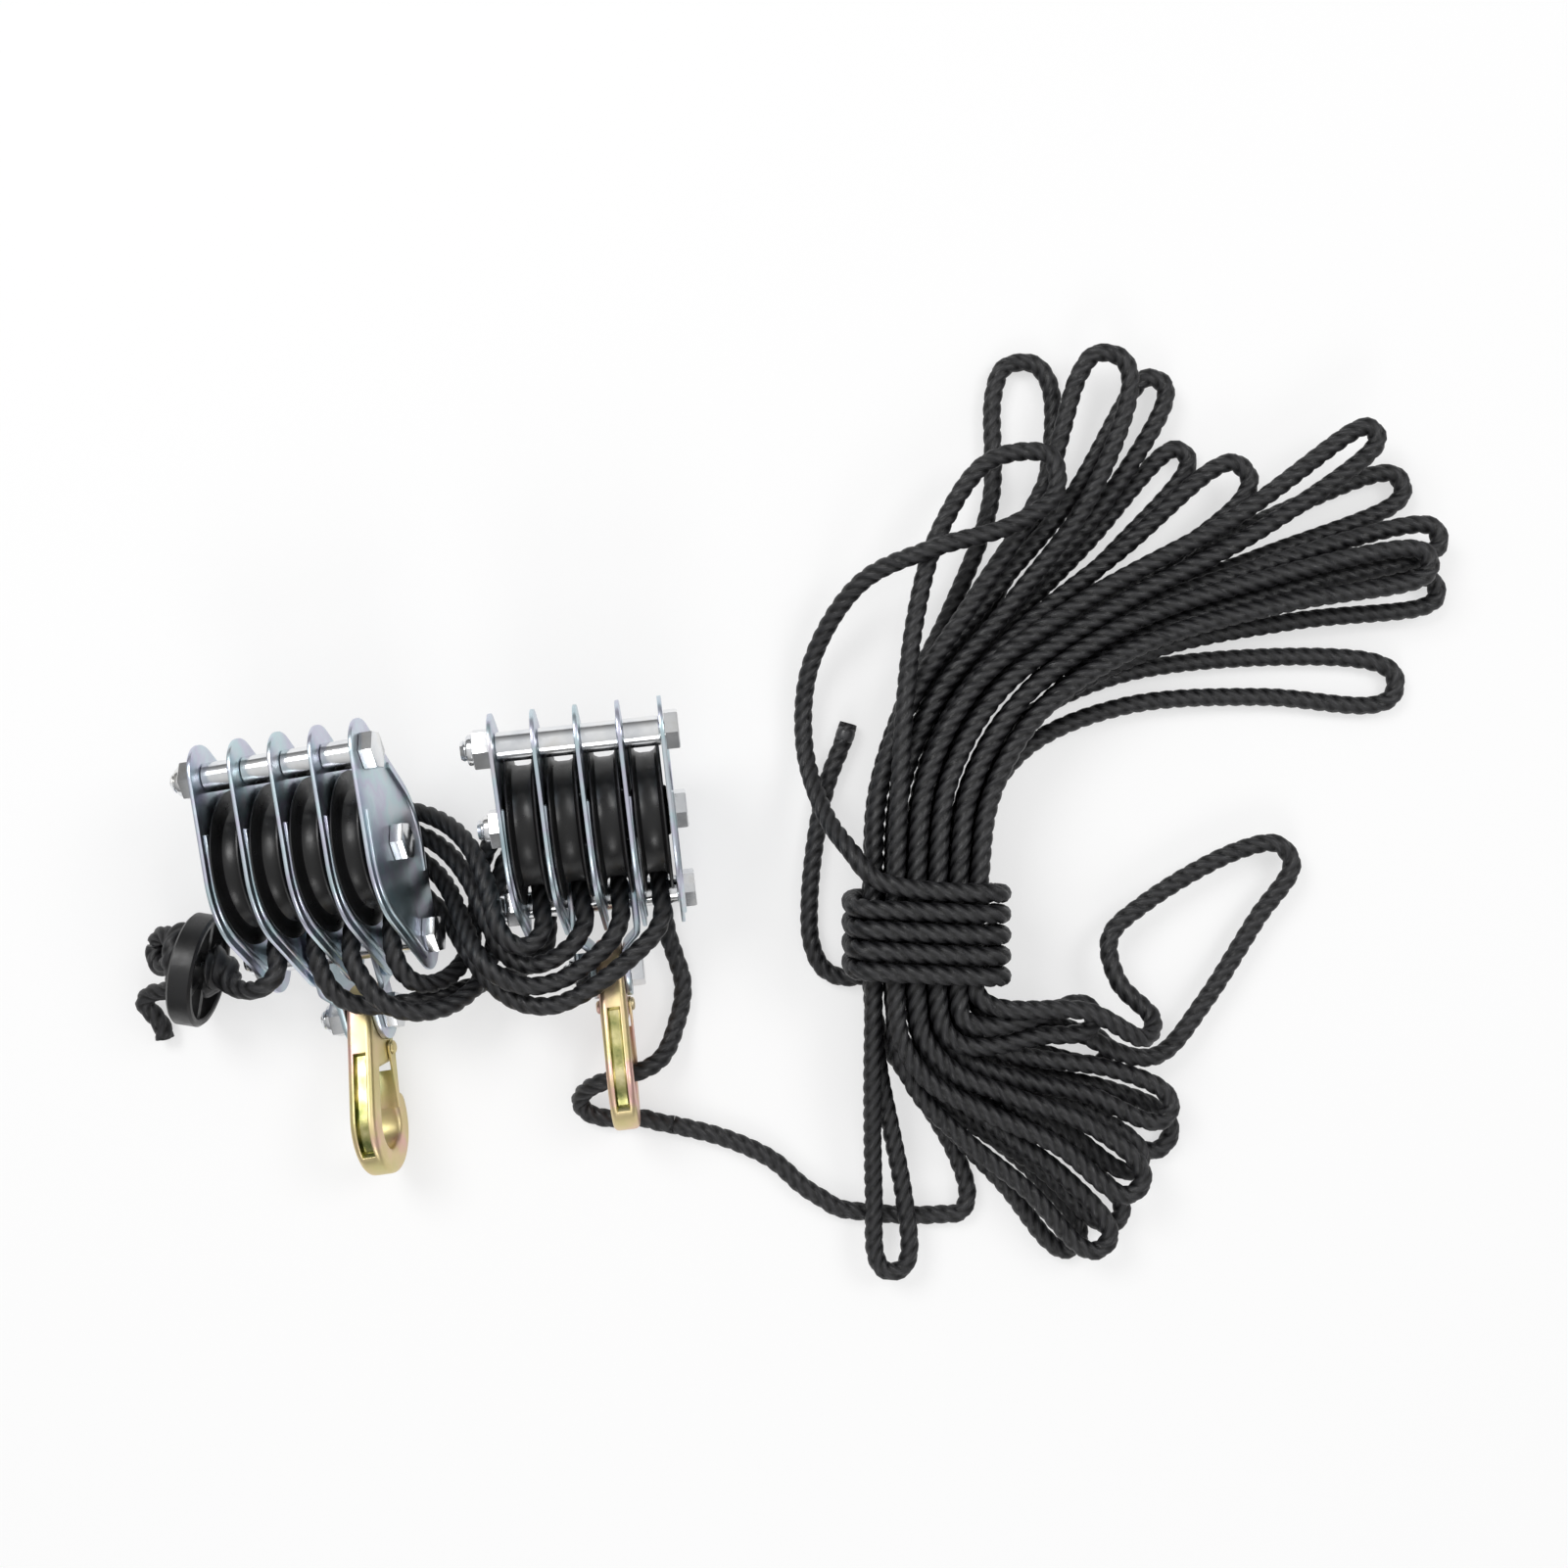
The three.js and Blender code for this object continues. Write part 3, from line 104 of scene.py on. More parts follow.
# %% Stations of the three stretches
REEVED = (
    -1246, -124, 281, -1030, -155, 276, -942, -169, 277, -908, -186, 295, -859, -229, 355,
    -785, -242, 405, -700, -232, 463, -641, -202, 481, -611, -167, 478, -599, -120, 468,
    -609, -66, 459, -618, 19, 409, -621, 91, 319, -624, 149, 247, -632, 235, 188, -643, 323, 161,
    -668, 451, 106, -668, 518, 76, -648, 569, 59, -603, 611, 51, -518, 631, 50, -268, 646, 50,
    -93, 642, 53, 16, 621, 78, 106, 592, 123, 207, 539, 198, 294, 462, 273, 360, 368, 338,
    413, 251, 397, 458, 101, 444, 489, 37, 451, 534, -8, 450, 592, -24, 445, 631, -14, 439,
    674, 33, 426, 688, 88, 419, 681, 146, 425, 669, 240, 396, 656, 321, 335, 645, 369, 254,
    640, 377, 186, 638, 356, 124, 639, 317, 82, 647, 231, 54, 659, 81, 48, 653, -34, 50,
    629, -90, 50, 557, -158, 52, 464, -207, 67, 378, -235, 100, 280, -255, 176, 142, -287, 314,
    53, -300, 370, -100, -318, 408, -196, -314, 430, -277, -284, 455, -335, -231, 475,
    -374, -163, 486, -406, -61, 486, -419, 19, 450, -427, 81, 394, -431, 172, 273, -439, 255, 211,
    -456, 373, 167, -467, 462, 107, -454, 500, 81, -420, 525, 62, -325, 540, 49, -125, 539, 50,
    -10, 515, 66, 81, 477, 98, 180, 410, 158, 287, 294, 242, 367, 165, 320, 415, 61, 353,
    472, -46, 365, 523, -95, 365, 583, -122, 365, 653, -120, 374, 730, -92, 390, 821, -25, 414,
    864, 29, 420, 891, 102, 405, 880, 168, 411, 864, 262, 383, 847, 354, 312, 837, 417, 262,
    819, 530, 195, 807, 585, 122, 782, 619, 87, 737, 636, 64, 685, 620, 52, 622, 567, 50,
    476, 431, 50, 435, 367, 50, 404, 255, 50, 400, 110, 57, 396, -2, 90, 381, -110, 153,
    346, -210, 243, 300, -271, 319, 231, -316, 402, 158, -335, 459, 71, -338, 498, -15, -318, 518,
    -94, -269, 525, -165, -186, 524, -228, -81, 505, -235, -10, 496, -238, 76, 448, -237, 148, 364,
    -240, 204, 290, -250, 305, 212, -263, 396, 119, -245, 429, 88, -204, 440, 62, -125, 433, 51,
    -31, 406, 53, 55, 347, 63, 123, 289, 104, 180, 224, 167, 257, 105, 285, 366, -66, 426,
    415, -119, 453, 489, -177, 460, 568, -210, 450, 650, -219, 435, 750, -199, 419, 855, -145, 420,
    969, -51, 425, 1034, 25, 426, 1058, 86, 405, 1065, 134, 394, 1061, 188, 399, 1053, 283, 370,
    1041, 371, 303, 1029, 443, 246, 1008, 569, 176, 991, 637, 114, 959, 675, 80, 901, 709, 56,
    813, 742, 50, 724, 747, 50, 654, 726, 50, 533, 640, 50, 394, 511, 50, 338, 413, 50,
    306, 294, 50, 295, 154, 62, 286, 17, 97, 272, -72, 151, 250, -129, 213, 206, -183, 310,
    153, -208, 395, 102, -206, 456, 57, -184, 495, 13, -131, 517, -19, -57, 524, -32, 18, 517,
    -42, 103, 470, -46, 168, 397, -48, 228, 317, -51, 272, 273, -53, 289, 206, -43, 278, 154,
    -14, 246, 108, 30, 201, 79, 83, 152, 74, 137, 102, 99, 189, 51, 147, 264, -30, 258,
    334, -111, 327, 395, -184, 353, 479, -259, 368, 571, -308, 378, 669, -323, 393, 756, -312, 405,
    877, -258, 421, 1015, -164, 430, 1169, -30, 407, 1241, 54, 385, 1267, 137, 380, 1261, 210, 386,
    1249, 304, 358, 1236, 382, 300, 1227, 424, 230, 1223, 428, 183, 1222, 403, 128, 1226, 342, 79,
    1233, 262, 52, 1270, 8, 50, 1305, -101, 50, 1345, -232, 50, 1344, -337, 51, 1319, -445, 65,
    1280, -562, 115, 1242, -620, 153, 1177, -661, 192, 1076, -694, 205, 969, -725, 195,
    899, -757, 162, 843, -806, 112, 825, -854, 77, 840, -889, 60, 878, -920, 51, 980, -943, 50,
    1139, -940, 50, 1229, -962, 50, 1298, -974, 50,
)
FREE = (
    1301, -975, 50, 1525, -1030, 50, 1699, -1096, 50, 1824, -1166, 50, 1948, -1277, 50,
    2023, -1330, 50, 2057, -1349, 50,
)
HANK_LOOPS = (
    2060, -1351, 50, 2141, -1399, 50, 2291, -1421, 50, 2497, -1436, 50, 2663, -1432, 50,
    2770, -1417, 50, 2803, -1331, 50, 2742, -1120, 50, 2561, -808, 50, 2348, -482, 70,
    2308, -276, 155, 2308, 344, 155, 2334, 722, 142, 2468, 1156, 118, 2707, 1639, 87,
    2921, 2210, 56, 2937, 2760, 50, 2993, 2900, 50, 3139, 2919, 50, 3227, 2800, 50, 3188, 2236, 50,
    2907, 1663, 69, 2604, 1180, 110, 2444, 735, 138, 2411, 344, 155, 2411, -276, 155,
    2446, -499, 160, 2537, -744, 154, 2735, -997, 137, 3002, -1287, 89, 3217, -1565, 68,
    3300, -1613, 61, 3374, -1560, 55, 3358, -1465, 50, 3135, -1209, 50, 2844, -952, 76,
    2635, -722, 102, 2545, -489, 125, 2514, -276, 155, 2514, 344, 155, 2549, 709, 141,
    2690, 1118, 117, 2983, 1547, 83, 3424, 2015, 51, 3801, 2450, 50, 3872, 2483, 50,
    3931, 2436, 50, 3916, 2360, 50, 3541, 1945, 50, 3093, 1500, 72, 2794, 1092, 109,
    2653, 698, 136, 2617, 344, 155, 2617, -276, 155, 2643, -470, 148, 2760, -653, 127,
    3016, -797, 92, 3377, -933, 58, 3658, -1087, 50, 3777, -1103, 50, 3845, -1010, 50,
    3794, -907, 50, 3518, -790, 53, 3148, -706, 78, 2880, -604, 105, 2751, -452, 130,
    2720, -276, 155, 2720, 344, 155, 2777, 693, 138, 3019, 1048, 112, 3535, 1314, 75,
    4285, 1416, 50, 4899, 1388, 50, 4988, 1325, 50, 4976, 1217, 50, 4875, 1173, 50, 4307, 1214, 58,
    3600, 1166, 90, 3109, 964, 123, 2877, 660, 141, 2823, 344, 155, 2823, -276, 155,
    2842, -356, 144, 2917, -423, 120, 3072, -462, 87, 3290, -485, 56, 3462, -521, 50,
    3520, -582, 50, 3489, -657, 50, 3402, -660, 50, 3231, -616, 73, 3034, -551, 145,
    2903, -467, 215, 2841, -368, 246, 2823, -276, 258, 2823, 344, 258, 2887, 726, 240,
    3134, 1116, 205, 3668, 1424, 161, 4461, 1597, 110, 5125, 1673, 87, 5190, 1719, 80,
    5182, 1797, 77, 5109, 1829, 80, 4411, 1739, 98, 3589, 1526, 147, 3038, 1175, 198,
    2784, 751, 236, 2720, 344, 258, 2720, -276, 258, 2750, -435, 234, 2864, -596, 210,
    3091, -739, 177, 3408, -887, 150, 3647, -1054, 151, 3671, -1131, 152, 3618, -1190, 149,
    3542, -1171, 148, 3296, -987, 160, 2981, -809, 197, 2755, -641, 231, 2646, -458, 250,
    2617, -276, 258, 2617, 344, 258, 2682, 776, 233, 2930, 1222, 192, 3475, 1605, 141,
    4286, 1925, 92, 4972, 2192, 73, 5026, 2263, 68, 4990, 2344, 68, 4901, 2353, 73, 4195, 2064, 92,
    3375, 1699, 147, 2830, 1273, 201, 2578, 798, 238, 2514, 344, 258, 2514, -276, 258,
    2549, -489, 231, 2679, -701, 194, 2944, -892, 144, 3305, -1101, 102, 3566, -1336, 91,
    3583, -1421, 95, 3516, -1474, 104, 3437, -1438, 118, 3178, -1186, 142, 2829, -949, 193,
    2576, -732, 249, 2445, -503, 263, 2411, -276, 258, 2411, 344, 258, 2449, 751, 239,
    2631, 1190, 210, 2997, 1646, 166, 3474, 2178, 125, 3802, 2716, 105, 3796, 2803, 100,
    3717, 2837, 100, 3647, 2781, 104, 3328, 2229, 130, 2869, 1678, 178, 2517, 1207, 214,
    2343, 757, 243, 2308, 344, 258, 2308, -276, 258, 2318, -480, 247, 2352, -720, 222,
    2409, -992, 188, 2471, -1313, 156, 2496, -1617, 144, 2456, -1688, 143, 2375, -1692, 142,
    2331, -1624, 143, 2319, -1322, 166, 2308, -1000, 240, 2303, -725, 314, 2304, -482, 351,
    2308, -276, 361, 2308, 344, 361, 2340, 750, 345, 2498, 1200, 317, 2808, 1683, 272,
    3168, 2256, 220, 3353, 2833, 201, 3435, 2933, 199, 3563, 2910, 202, 3606, 2788, 209,
    3402, 2213, 226, 2988, 1657, 267, 2623, 1195, 311, 2447, 750, 341, 2411, 344, 361,
    2411, -276, 361, 2425, -514, 363, 2535, -765, 339, 2771, -1007, 285, 3097, -1277, 235,
    3349, -1548, 214, 3427, -1576, 209, 3495, -1525, 209, 3490, -1443, 212, 3247, -1180, 228,
    2914, -933, 268, 2668, -715, 311, 2546, -491, 342, 2514, -276, 361, 2514, 344, 361,
    2547, 724, 346, 2709, 1137, 319, 3058, 1543, 271, 3583, 1967, 221, 4029, 2355, 201,
    4133, 2385, 196, 4206, 2308, 197, 4172, 2205, 202, 3724, 1845, 225, 3175, 1472, 265,
    2811, 1101, 308, 2650, 711, 341, 2617, 344, 361, 2617, -276, 361, 2642, -456, 355,
    2773, -602, 330, 3038, -703, 287, 3401, -792, 232, 3676, -919, 206, 3764, -926, 195,
    3814, -852, 189, 3773, -773, 189, 3509, -662, 205, 3151, -604, 253, 2888, -537, 304,
    2747, -421, 342, 2720, -276, 361, 2720, 344, 361, 2790, 761, 337, 3050, 1201, 299,
    3576, 1603, 245, 4379, 1899, 194, 5076, 2079, 173, 5152, 2057, 168, 5171, 1979, 169,
    5112, 1924, 174, 4442, 1760, 197, 3660, 1503, 250, 3141, 1143, 305, 2893, 735, 341,
    2823, 344, 361, 2823, -276, 361, 3276, -447, 249, 3628, -602, 208, 3778, -587, 162,
    3999, -332, 126, 4270, 89, 111, 4446, 359, 111, 4372, 464, 117, 4163, 430, 128, 3684, 161, 144,
    3510, -8, 164, 3546, -226, 212, 3698, -399, 295, 3639, -481, 391, 3345, -337, 488,
    2823, -276, 464, 2823, 344, 464, 2883, 722, 444, 3118, 1116, 410, 3621, 1448, 355,
    4376, 1668, 303, 5021, 1786, 282, 5082, 1837, 277, 5069, 1914, 277, 4994, 1941, 281,
    4318, 1806, 301, 3537, 1546, 351, 3022, 1171, 404, 2779, 746, 441, 2720, 344, 464,
    2720, -276, 464, 2736, -369, 471, 2834, -413, 457, 2992, -401, 425, 3193, -345, 372,
    3335, -313, 352, 3394, -360, 350, 3377, -438, 350, 3297, -466, 354, 3122, -472, 366,
    2895, -515, 409, 2724, -502, 441, 2641, -414, 459, 2617, -276, 464, 2617, 344, 464,
    2674, 784, 437, 2926, 1225, 396, 3459, 1619, 342, 4215, 2022, 291, 4806, 2445, 271,
    4824, 2503, 269, 4783, 2549, 271, 4723, 2537, 279, 4119, 2102, 303, 3353, 1678, 354,
    2814, 1267, 407, 2567, 802, 444, 2514, 344, 464, 2514, -276, 464, 2547, -467, 446,
    2698, -640, 417, 2990, -771, 366, 3371, -919, 316, 3631, -1124, 297, 3646, -1215, 294,
    3577, -1274, 297, 3491, -1245, 304, 3228, -1027, 328, 2857, -848, 381, 2576, -687, 430,
    2440, -489, 463, 2411, -276, 464, 2411, 344, 464, 2506, 1558, 401, 2651, 2053, 338,
    2892, 2376, 314, 3183, 2399, 313, 3206, 2206, 354, 2983, 2038, 420, 2586, 1916, 460,
    2243, 1764, 326, 2000, 1372, 146, 1968, 975, 110, 2065, 628, 318, 2188, 446, 508,
    2320, 304, 570,
)
WAIST_TURN = (
    2823, 244, 568, 2875, 242, 554, 2913, 239, 516, 2927, 237, 464, 2927, 223, 155,
    2913, 221, 103, 2875, 219, 64, 2823, 216, 51, 2308, 194, 51, 2256, 191, 64, 2218, 189, 103,
    2204, 186, 155, 2204, 173, 464, 2218, 170, 516, 2256, 168, 554, 2308, 166, 568,
)
WAIST_STEP = (0, -101, 0)
WAIST_STATIONS = 4 * 16 + 9  # four turns, and a fifth as far as the floor
ROPE_END = (
    2150, -217, 50, 2060, -166, 50, 2005, -41, 50, 1995, 154, 50, 2025, 474, 50, 2085, 769, 50,
    2170, 994, 50, 2195, 1079, 50,
)
TENTH = 0.0001
ROPE_DIAMETER = 0.0095
print("stations", [len(part) // 3 for part in (REEVED, FREE, HANK_LOOPS, WAIST_TURN, ROPE_END)])

# %% A smooth centreline with even steps
CURVE_POINTS = 12
REEVED_STEP, HAULING_STEP = 0.002, 0.0024


def run_along(line):
    """The length of the line up to each of its points."""
    return np.r_[0, np.cumsum(np.linalg.norm(np.diff(line, axis=0), axis=1))]


def smooth_line(stations, step):
    """Centripetal Catmull-Rom through the stations, then even steps along it."""
    given = np.vstack([2 * stations[0] - stations[1], stations, 2 * stations[-1] - stations[-2]])
    fine = []
    for a, b, c, d in zip(given[:-3], given[1:-2], given[2:-1], given[3:]):
        t1 = max(np.linalg.norm(b - a), 1e-6) ** 0.5
        t2 = t1 + max(np.linalg.norm(c - b), 1e-6) ** 0.5
        t3 = t2 + max(np.linalg.norm(d - c), 1e-6) ** 0.5
        for t in np.linspace(t1, t2, CURVE_POINTS, endpoint=False):
            ab = a + (b - a) * t / t1
            bc = b + (c - b) * (t - t1) / (t2 - t1)
            cd = c + (d - c) * (t - t2) / (t3 - t2)
            abc = ab + (bc - ab) * t / t2
            bcd = bc + (cd - bc) * (t - t1) / (t3 - t1)
            fine.append(abc + (bcd - abc) * (t - t1) / (t2 - t1))
    fine = np.array(fine + [stations[-1]])
    run = run_along(fine)
    even = np.linspace(0, run[-1], max(3, int(round(run[-1] / step)) + 1))
    return np.stack([np.interp(even, run, fine[:, k]) for k in range(3)], axis=1)


def line_length(line):
    return float(np.linalg.norm(np.diff(line, axis=0), axis=1).sum())


def stations_of(numbers):
    return np.array(numbers, float).reshape(-1, 3)


waist = [stations_of(WAIST_TURN) + np.array(WAIST_STEP) * turn for turn in range(5)]
hank = [stations_of(HANK_LOOPS)[1:], np.vstack(waist)[:WAIST_STATIONS], stations_of(ROPE_END)]
reeved_line = smooth_line(stations_of(REEVED) * TENTH, REEVED_STEP)
hauling_line = smooth_line(
    np.vstack([reeved_line[-1:], np.vstack([stations_of(FREE)[1:], *hank]) * TENTH]), HAULING_STEP
)
print("reeved", round(line_length(reeved_line), 3), "hauling", round(line_length(hauling_line), 3))

# %% [markdown]
# ## Materials
# The side plates are zinc plated and passivated: a cool silver with faint lilac and straw clouds.
# The spacer tubes and bolts are brighter. The hooks and their latches carry a thicker yellow
# passivation, which shifts from gold to pink and green; the pressed channel has these tones painted
# darker, as painted shade in its recess.
# The sheaves and the stopper ring are black moulded plastic. Colour comes from noise in Object
# coordinates, so it stays on a piece from every side.

# %% Small helpers for the shader nodes
def feed(look, node, inputs):
    """Gives inputs of a node a value, or links them to the socket that is given."""
    for key, value in inputs.items():
        if isinstance(value, bpy.types.NodeSocket):
            look.node_tree.links.new(value, node.inputs[key])
        else:
            node.inputs[key].default_value = value


def shader_node(look, kind, inputs=None, **settings):
    node = look.node_tree.nodes.new("ShaderNode" + kind)
    for key, value in settings.items():
        setattr(node, key, value)
    feed(look, node, inputs or {})
    return node


def new_look(name, roughness, metallic):
    look = bpy.data.materials.new(name)
    look.use_nodes = True
    shader = look.node_tree.nodes["Principled BSDF"]
    feed(look, shader, {"Roughness": roughness, "Metallic": metallic})
    return look, shader


def clouds(look, scale, detail):
    """A noise pattern that stays on the piece."""
    where = shader_node(look, "TexCoord").outputs["Object"]
    noise = shader_node(look, "TexNoise", {"Vector": where, "Scale": scale, "Detail": detail})
    return noise.outputs["Fac"]


def ramp(look, value, stops):
    """Colours along a value."""
    node = shader_node(look, "ValToRGB", {"Fac": value})
    band = node.color_ramp
    while len(band.elements) < len(stops):
        band.elements.new(0.5)
    for element, (place, colour) in zip(band.elements, stops):
        element.position = place
        element.color = (*colour, 1)
    return node.outputs["Color"]


def spread(look, value, low, high):
    """The middle of a noise's range brought to the range from low to high."""
    node = shader_node(look, "MapRange", {
        "Value": value, "From Min": 0.3, "From Max": 0.7, "To Min": low, "To Max": high,
    })
    return node.outputs["Result"]


def bumped(look, value, depth, strength=1.0):
    node = shader_node(look, "Bump", {"Height": value, "Distance": depth, "Strength": strength})
    return node.outputs["Normal"]


print("shader helpers ready")

# %% Zinc plate, bright zinc and yellow passivated steel
def plated(name, scale, stops, rough, bump):
    look, shader = new_look(name, rough[0], 1.0)
    feed(look, shader, {
        "Base Color": ramp(look, clouds(look, scale, 4), stops),
        "Roughness": spread(look, clouds(look, 70, 3), *rough),
        "Normal": bumped(look, clouds(look, 260, 2), bump),
    })
    return look


zinc_plate = plated(
    "zinc_plate", 26,
    ((0.30, (0.44, 0.58, 0.62)), (0.42, (0.62, 0.72, 0.78)), (0.50, (0.60, 0.60, 0.72)),
     (0.58, (0.56, 0.70, 0.74)), (0.70, (0.70, 0.68, 0.74))),
    (0.28, 0.38), 0.000006,
)
bright_zinc = plated(
    "bright_zinc", 60,
    ((0.35, (0.72, 0.74, 0.77)), (0.55, (0.86, 0.87, 0.88)), (0.72, (0.80, 0.79, 0.76))),
    (0.12, 0.22), 0.000006,
)
hook_gold = plated(
    "yellow_passivated_steel", 24,
    ((0.30, (0.52, 0.60, 0.34)), (0.40, (0.66, 0.58, 0.28)), (0.50, (0.74, 0.60, 0.34)),
     (0.58, (0.80, 0.50, 0.46)), (0.66, (0.74, 0.58, 0.36)), (0.78, (0.56, 0.62, 0.40))),
    (0.36, 0.50), 0.00003,
)
# The pressed channel: the hook's passivation tones painted much darker, dark olive to cream, as
# painted shade in its recess.
channel_shaded_gold = plated(
    "channel_gold_painted_shade", 90,
    ((0.32, (0.15, 0.17, 0.06)), (0.48, (0.38, 0.36, 0.15)), (0.64, (0.64, 0.57, 0.32))),
    (0.22, 0.36), 0.00012,
)
print("plated metals", zinc_plate.name, bright_zinc.name, hook_gold.name, channel_shaded_gold.name)

# %% Black moulded plastic
black_plastic, shader = new_look("black_plastic", 0.32, 0.0)
stops = ((0.3, (0.007, 0.007, 0.007)), (0.7, (0.013, 0.013, 0.014)))
feed(black_plastic, shader, {
    "Base Color": ramp(black_plastic, clouds(black_plastic, 30, 3), stops),
    "Roughness": spread(black_plastic, clouds(black_plastic, 160, 2), 0.26, 0.42),
    "Specular IOR Level": 0.4,
    "Normal": bumped(black_plastic, clouds(black_plastic, 700, 2), 0.00003),
})
print("plastic", black_plastic.name)

# %% [markdown]
# ## Rope fibre
# Strands of fine filament are laid up together. The strands are real geometry below; the
# material adds the yarns: fine lines that follow the rope, on its own UV map, where U goes
# once round the rope and V counts its length in diameters. The second map says how deep between
# the strands a point lies; the base colour uses it for painted shade, near black in the hollows,
# and a painted highlight, lighter on the crowns.

# %% Black filament rope
rope_fibre, shader = new_look("rope_fibre", 0.46, 0.0)
yarn_map = shader_node(rope_fibre, "UVMap", uv_map="yarns").outputs["UV"]
yarn_place = shader_node(rope_fibre, "Mapping", {"Vector": yarn_map, "Scale": (42, 1.2, 1)})
yarns = shader_node(
    rope_fibre, "TexNoise", {"Vector": yarn_place.outputs["Vector"], "Scale": 1.0, "Detail": 2}
).outputs["Fac"]
# Painted shade and highlight: the base colour follows the height between the strands, near black in
# the hollows and lighter on the crowns.
depth = shader_node(rope_fibre, "Attribute", attribute_name="strand_crown").outputs["Fac"]
stops = (
    (0.0, (0.0006, 0.0006, 0.0007)), (0.45, (0.005, 0.005, 0.006)), (1.0, (0.020, 0.020, 0.022)),
)
feed(rope_fibre, shader, {
    "Base Color": ramp(rope_fibre, depth, stops),
    "Roughness": spread(rope_fibre, yarns, 0.34, 0.56),
    "Specular IOR Level": 0.46,
    "Normal": bumped(rope_fibre, yarns, 0.0004, 0.7),
})

dark_tape, shader = new_look("dark_tape", 0.34, 0.0)
stops = ((0.35, (0.030, 0.030, 0.032)), (0.65, (0.060, 0.060, 0.063)))
feed(dark_tape, shader, {"Base Color": ramp(dark_tape, clouds(dark_tape, 300, 2), stops)})
print("fibre", rope_fibre.name, "tape", dark_tape.name)

# %% [markdown]
# ## The laid rope
# A round tube would look like a cable. The strands of a laid rope wind round one another, here
# one turn in three diameters, so each ring of the mesh is an outline with a lobe a strand, and
# the outline turns a little from ring to ring. The rings are laid out in code, because the lay has
# to run on without a break through every bend. One centreline serves both stretches of the rope,
# so the strands also meet where one piece ends and the next begins.

# %% Rings of a laid rope
STRANDS = 4
RING_POINTS = 4 * STRANDS
LAY_LENGTH = 3.0 * ROPE_DIAMETER
HOLLOW, LOBE_POWER = 0.2, 0.8
YARN_SLANT = 0.35


def turned_frames(line, up=(0.0, 0.0, 1.0)):
    """Tangent, side and top of each ring, with no twist of their own."""
    tangent = np.gradient(line, axis=0)
    tangent /= np.linalg.norm(tangent, axis=1, keepdims=True)
    top = np.empty_like(line)
    last = np.array(up, float)
    for i, way in enumerate(tangent):
        last = last - way * (last @ way)
        last /= np.linalg.norm(last)
        top[i] = last
    return tangent, np.cross(tangent, top), top


def laid_rope(name, line, start_run=0.0, widen=None, up=(0.0, 0.0, 1.0)):
    """A closed mesh of laid strands round a line; widen scales each ring's radius."""
    tangent, side, top = turned_frames(line, up)
    run = start_run + run_along(line)
    angle = np.linspace(0, 2 * math.pi, RING_POINTS, endpoint=False)
    lobe = 1 - HOLLOW * (1 - np.abs(np.cos(STRANDS / 2 * angle)) ** LOBE_POWER)
    turn = 2 * math.pi * run / LAY_LENGTH
    around = angle[None, :] - turn[:, None]
    radius = ROPE_DIAMETER / 2 * lobe[None, :] * (1 if widen is None else widen[:, None])
    rings = (
        line[:, None, :]
        + side[:, None, :] * (np.cos(around) * radius)[:, :, None]
        + top[:, None, :] * (np.sin(around) * radius)[:, :, None]
    )
    count = len(line)
    start, end = count * RING_POINTS, count * RING_POINTS + 1
    vertices = np.vstack([rings.reshape(-1, 3), line[:1], line[-1:]])
    faces = []
    for i in range(count - 1):
        for k in range(RING_POINTS):
            a, b = i * RING_POINTS + k, i * RING_POINTS + (k + 1) % RING_POINTS
            faces.append((a, b, b + RING_POINTS, a + RING_POINTS))
    last = (count - 1) * RING_POINTS
    for k in range(RING_POINTS):
        following = (k + 1) % RING_POINTS
        faces.append((start, following, k))
        faces.append((end, last + k, last + following))
    mesh = bpy.data.meshes.new(name)
    mesh.from_pydata(vertices.tolist(), [], faces)
    yarns = mesh.uv_layers.new(name="yarns")
    corner_vertex = np.empty(len(mesh.loops), int)
    mesh.loops.foreach_get("vertex_index", corner_vertex)
    ring = np.minimum(corner_vertex // RING_POINTS, count - 1)
    place = corner_vertex % RING_POINTS
    turns = np.where(corner_vertex < start, turn[ring] / (2 * math.pi), 0)
    u = place / RING_POINTS - turns * YARN_SLANT
    v = run[ring] / ROPE_DIAMETER
    yarns.data.foreach_set("uv", np.stack([u, v], axis=1).ravel())
    # Height from hollow to crown at each ring point; the fibre colours it as painted shade in the
    # hollows and a painted highlight on the crowns.
    crown = mesh.attributes.new("strand_crown", "FLOAT", "POINT")
    height = np.r_[np.tile((lobe - lobe.min()) / (lobe.max() - lobe.min()), count), 0, 0]
    crown.data.foreach_set("value", height)
    all_smooth(mesh)
    mesh.materials.append(rope_fibre)
    print(name, "rings", count, "length", round(float(run[-1] - run[0]), 3), "m")
    return in_scene(name, mesh)


# %% [markdown]
# ## Hauling part and hank
# The free end leaves the right hook along the floor and is made up into a hank with four turns
# round its waist. A turn of tape keeps its cut end from fraying.

# %% Hauling rope and its taped end
seam_top = turned_frames(reeved_line)[2][-1]
hauling_rope = laid_rope("hauling_rope", hauling_line, line_length(reeved_line), up=seam_top)
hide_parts("free_rope", "rope_hank")


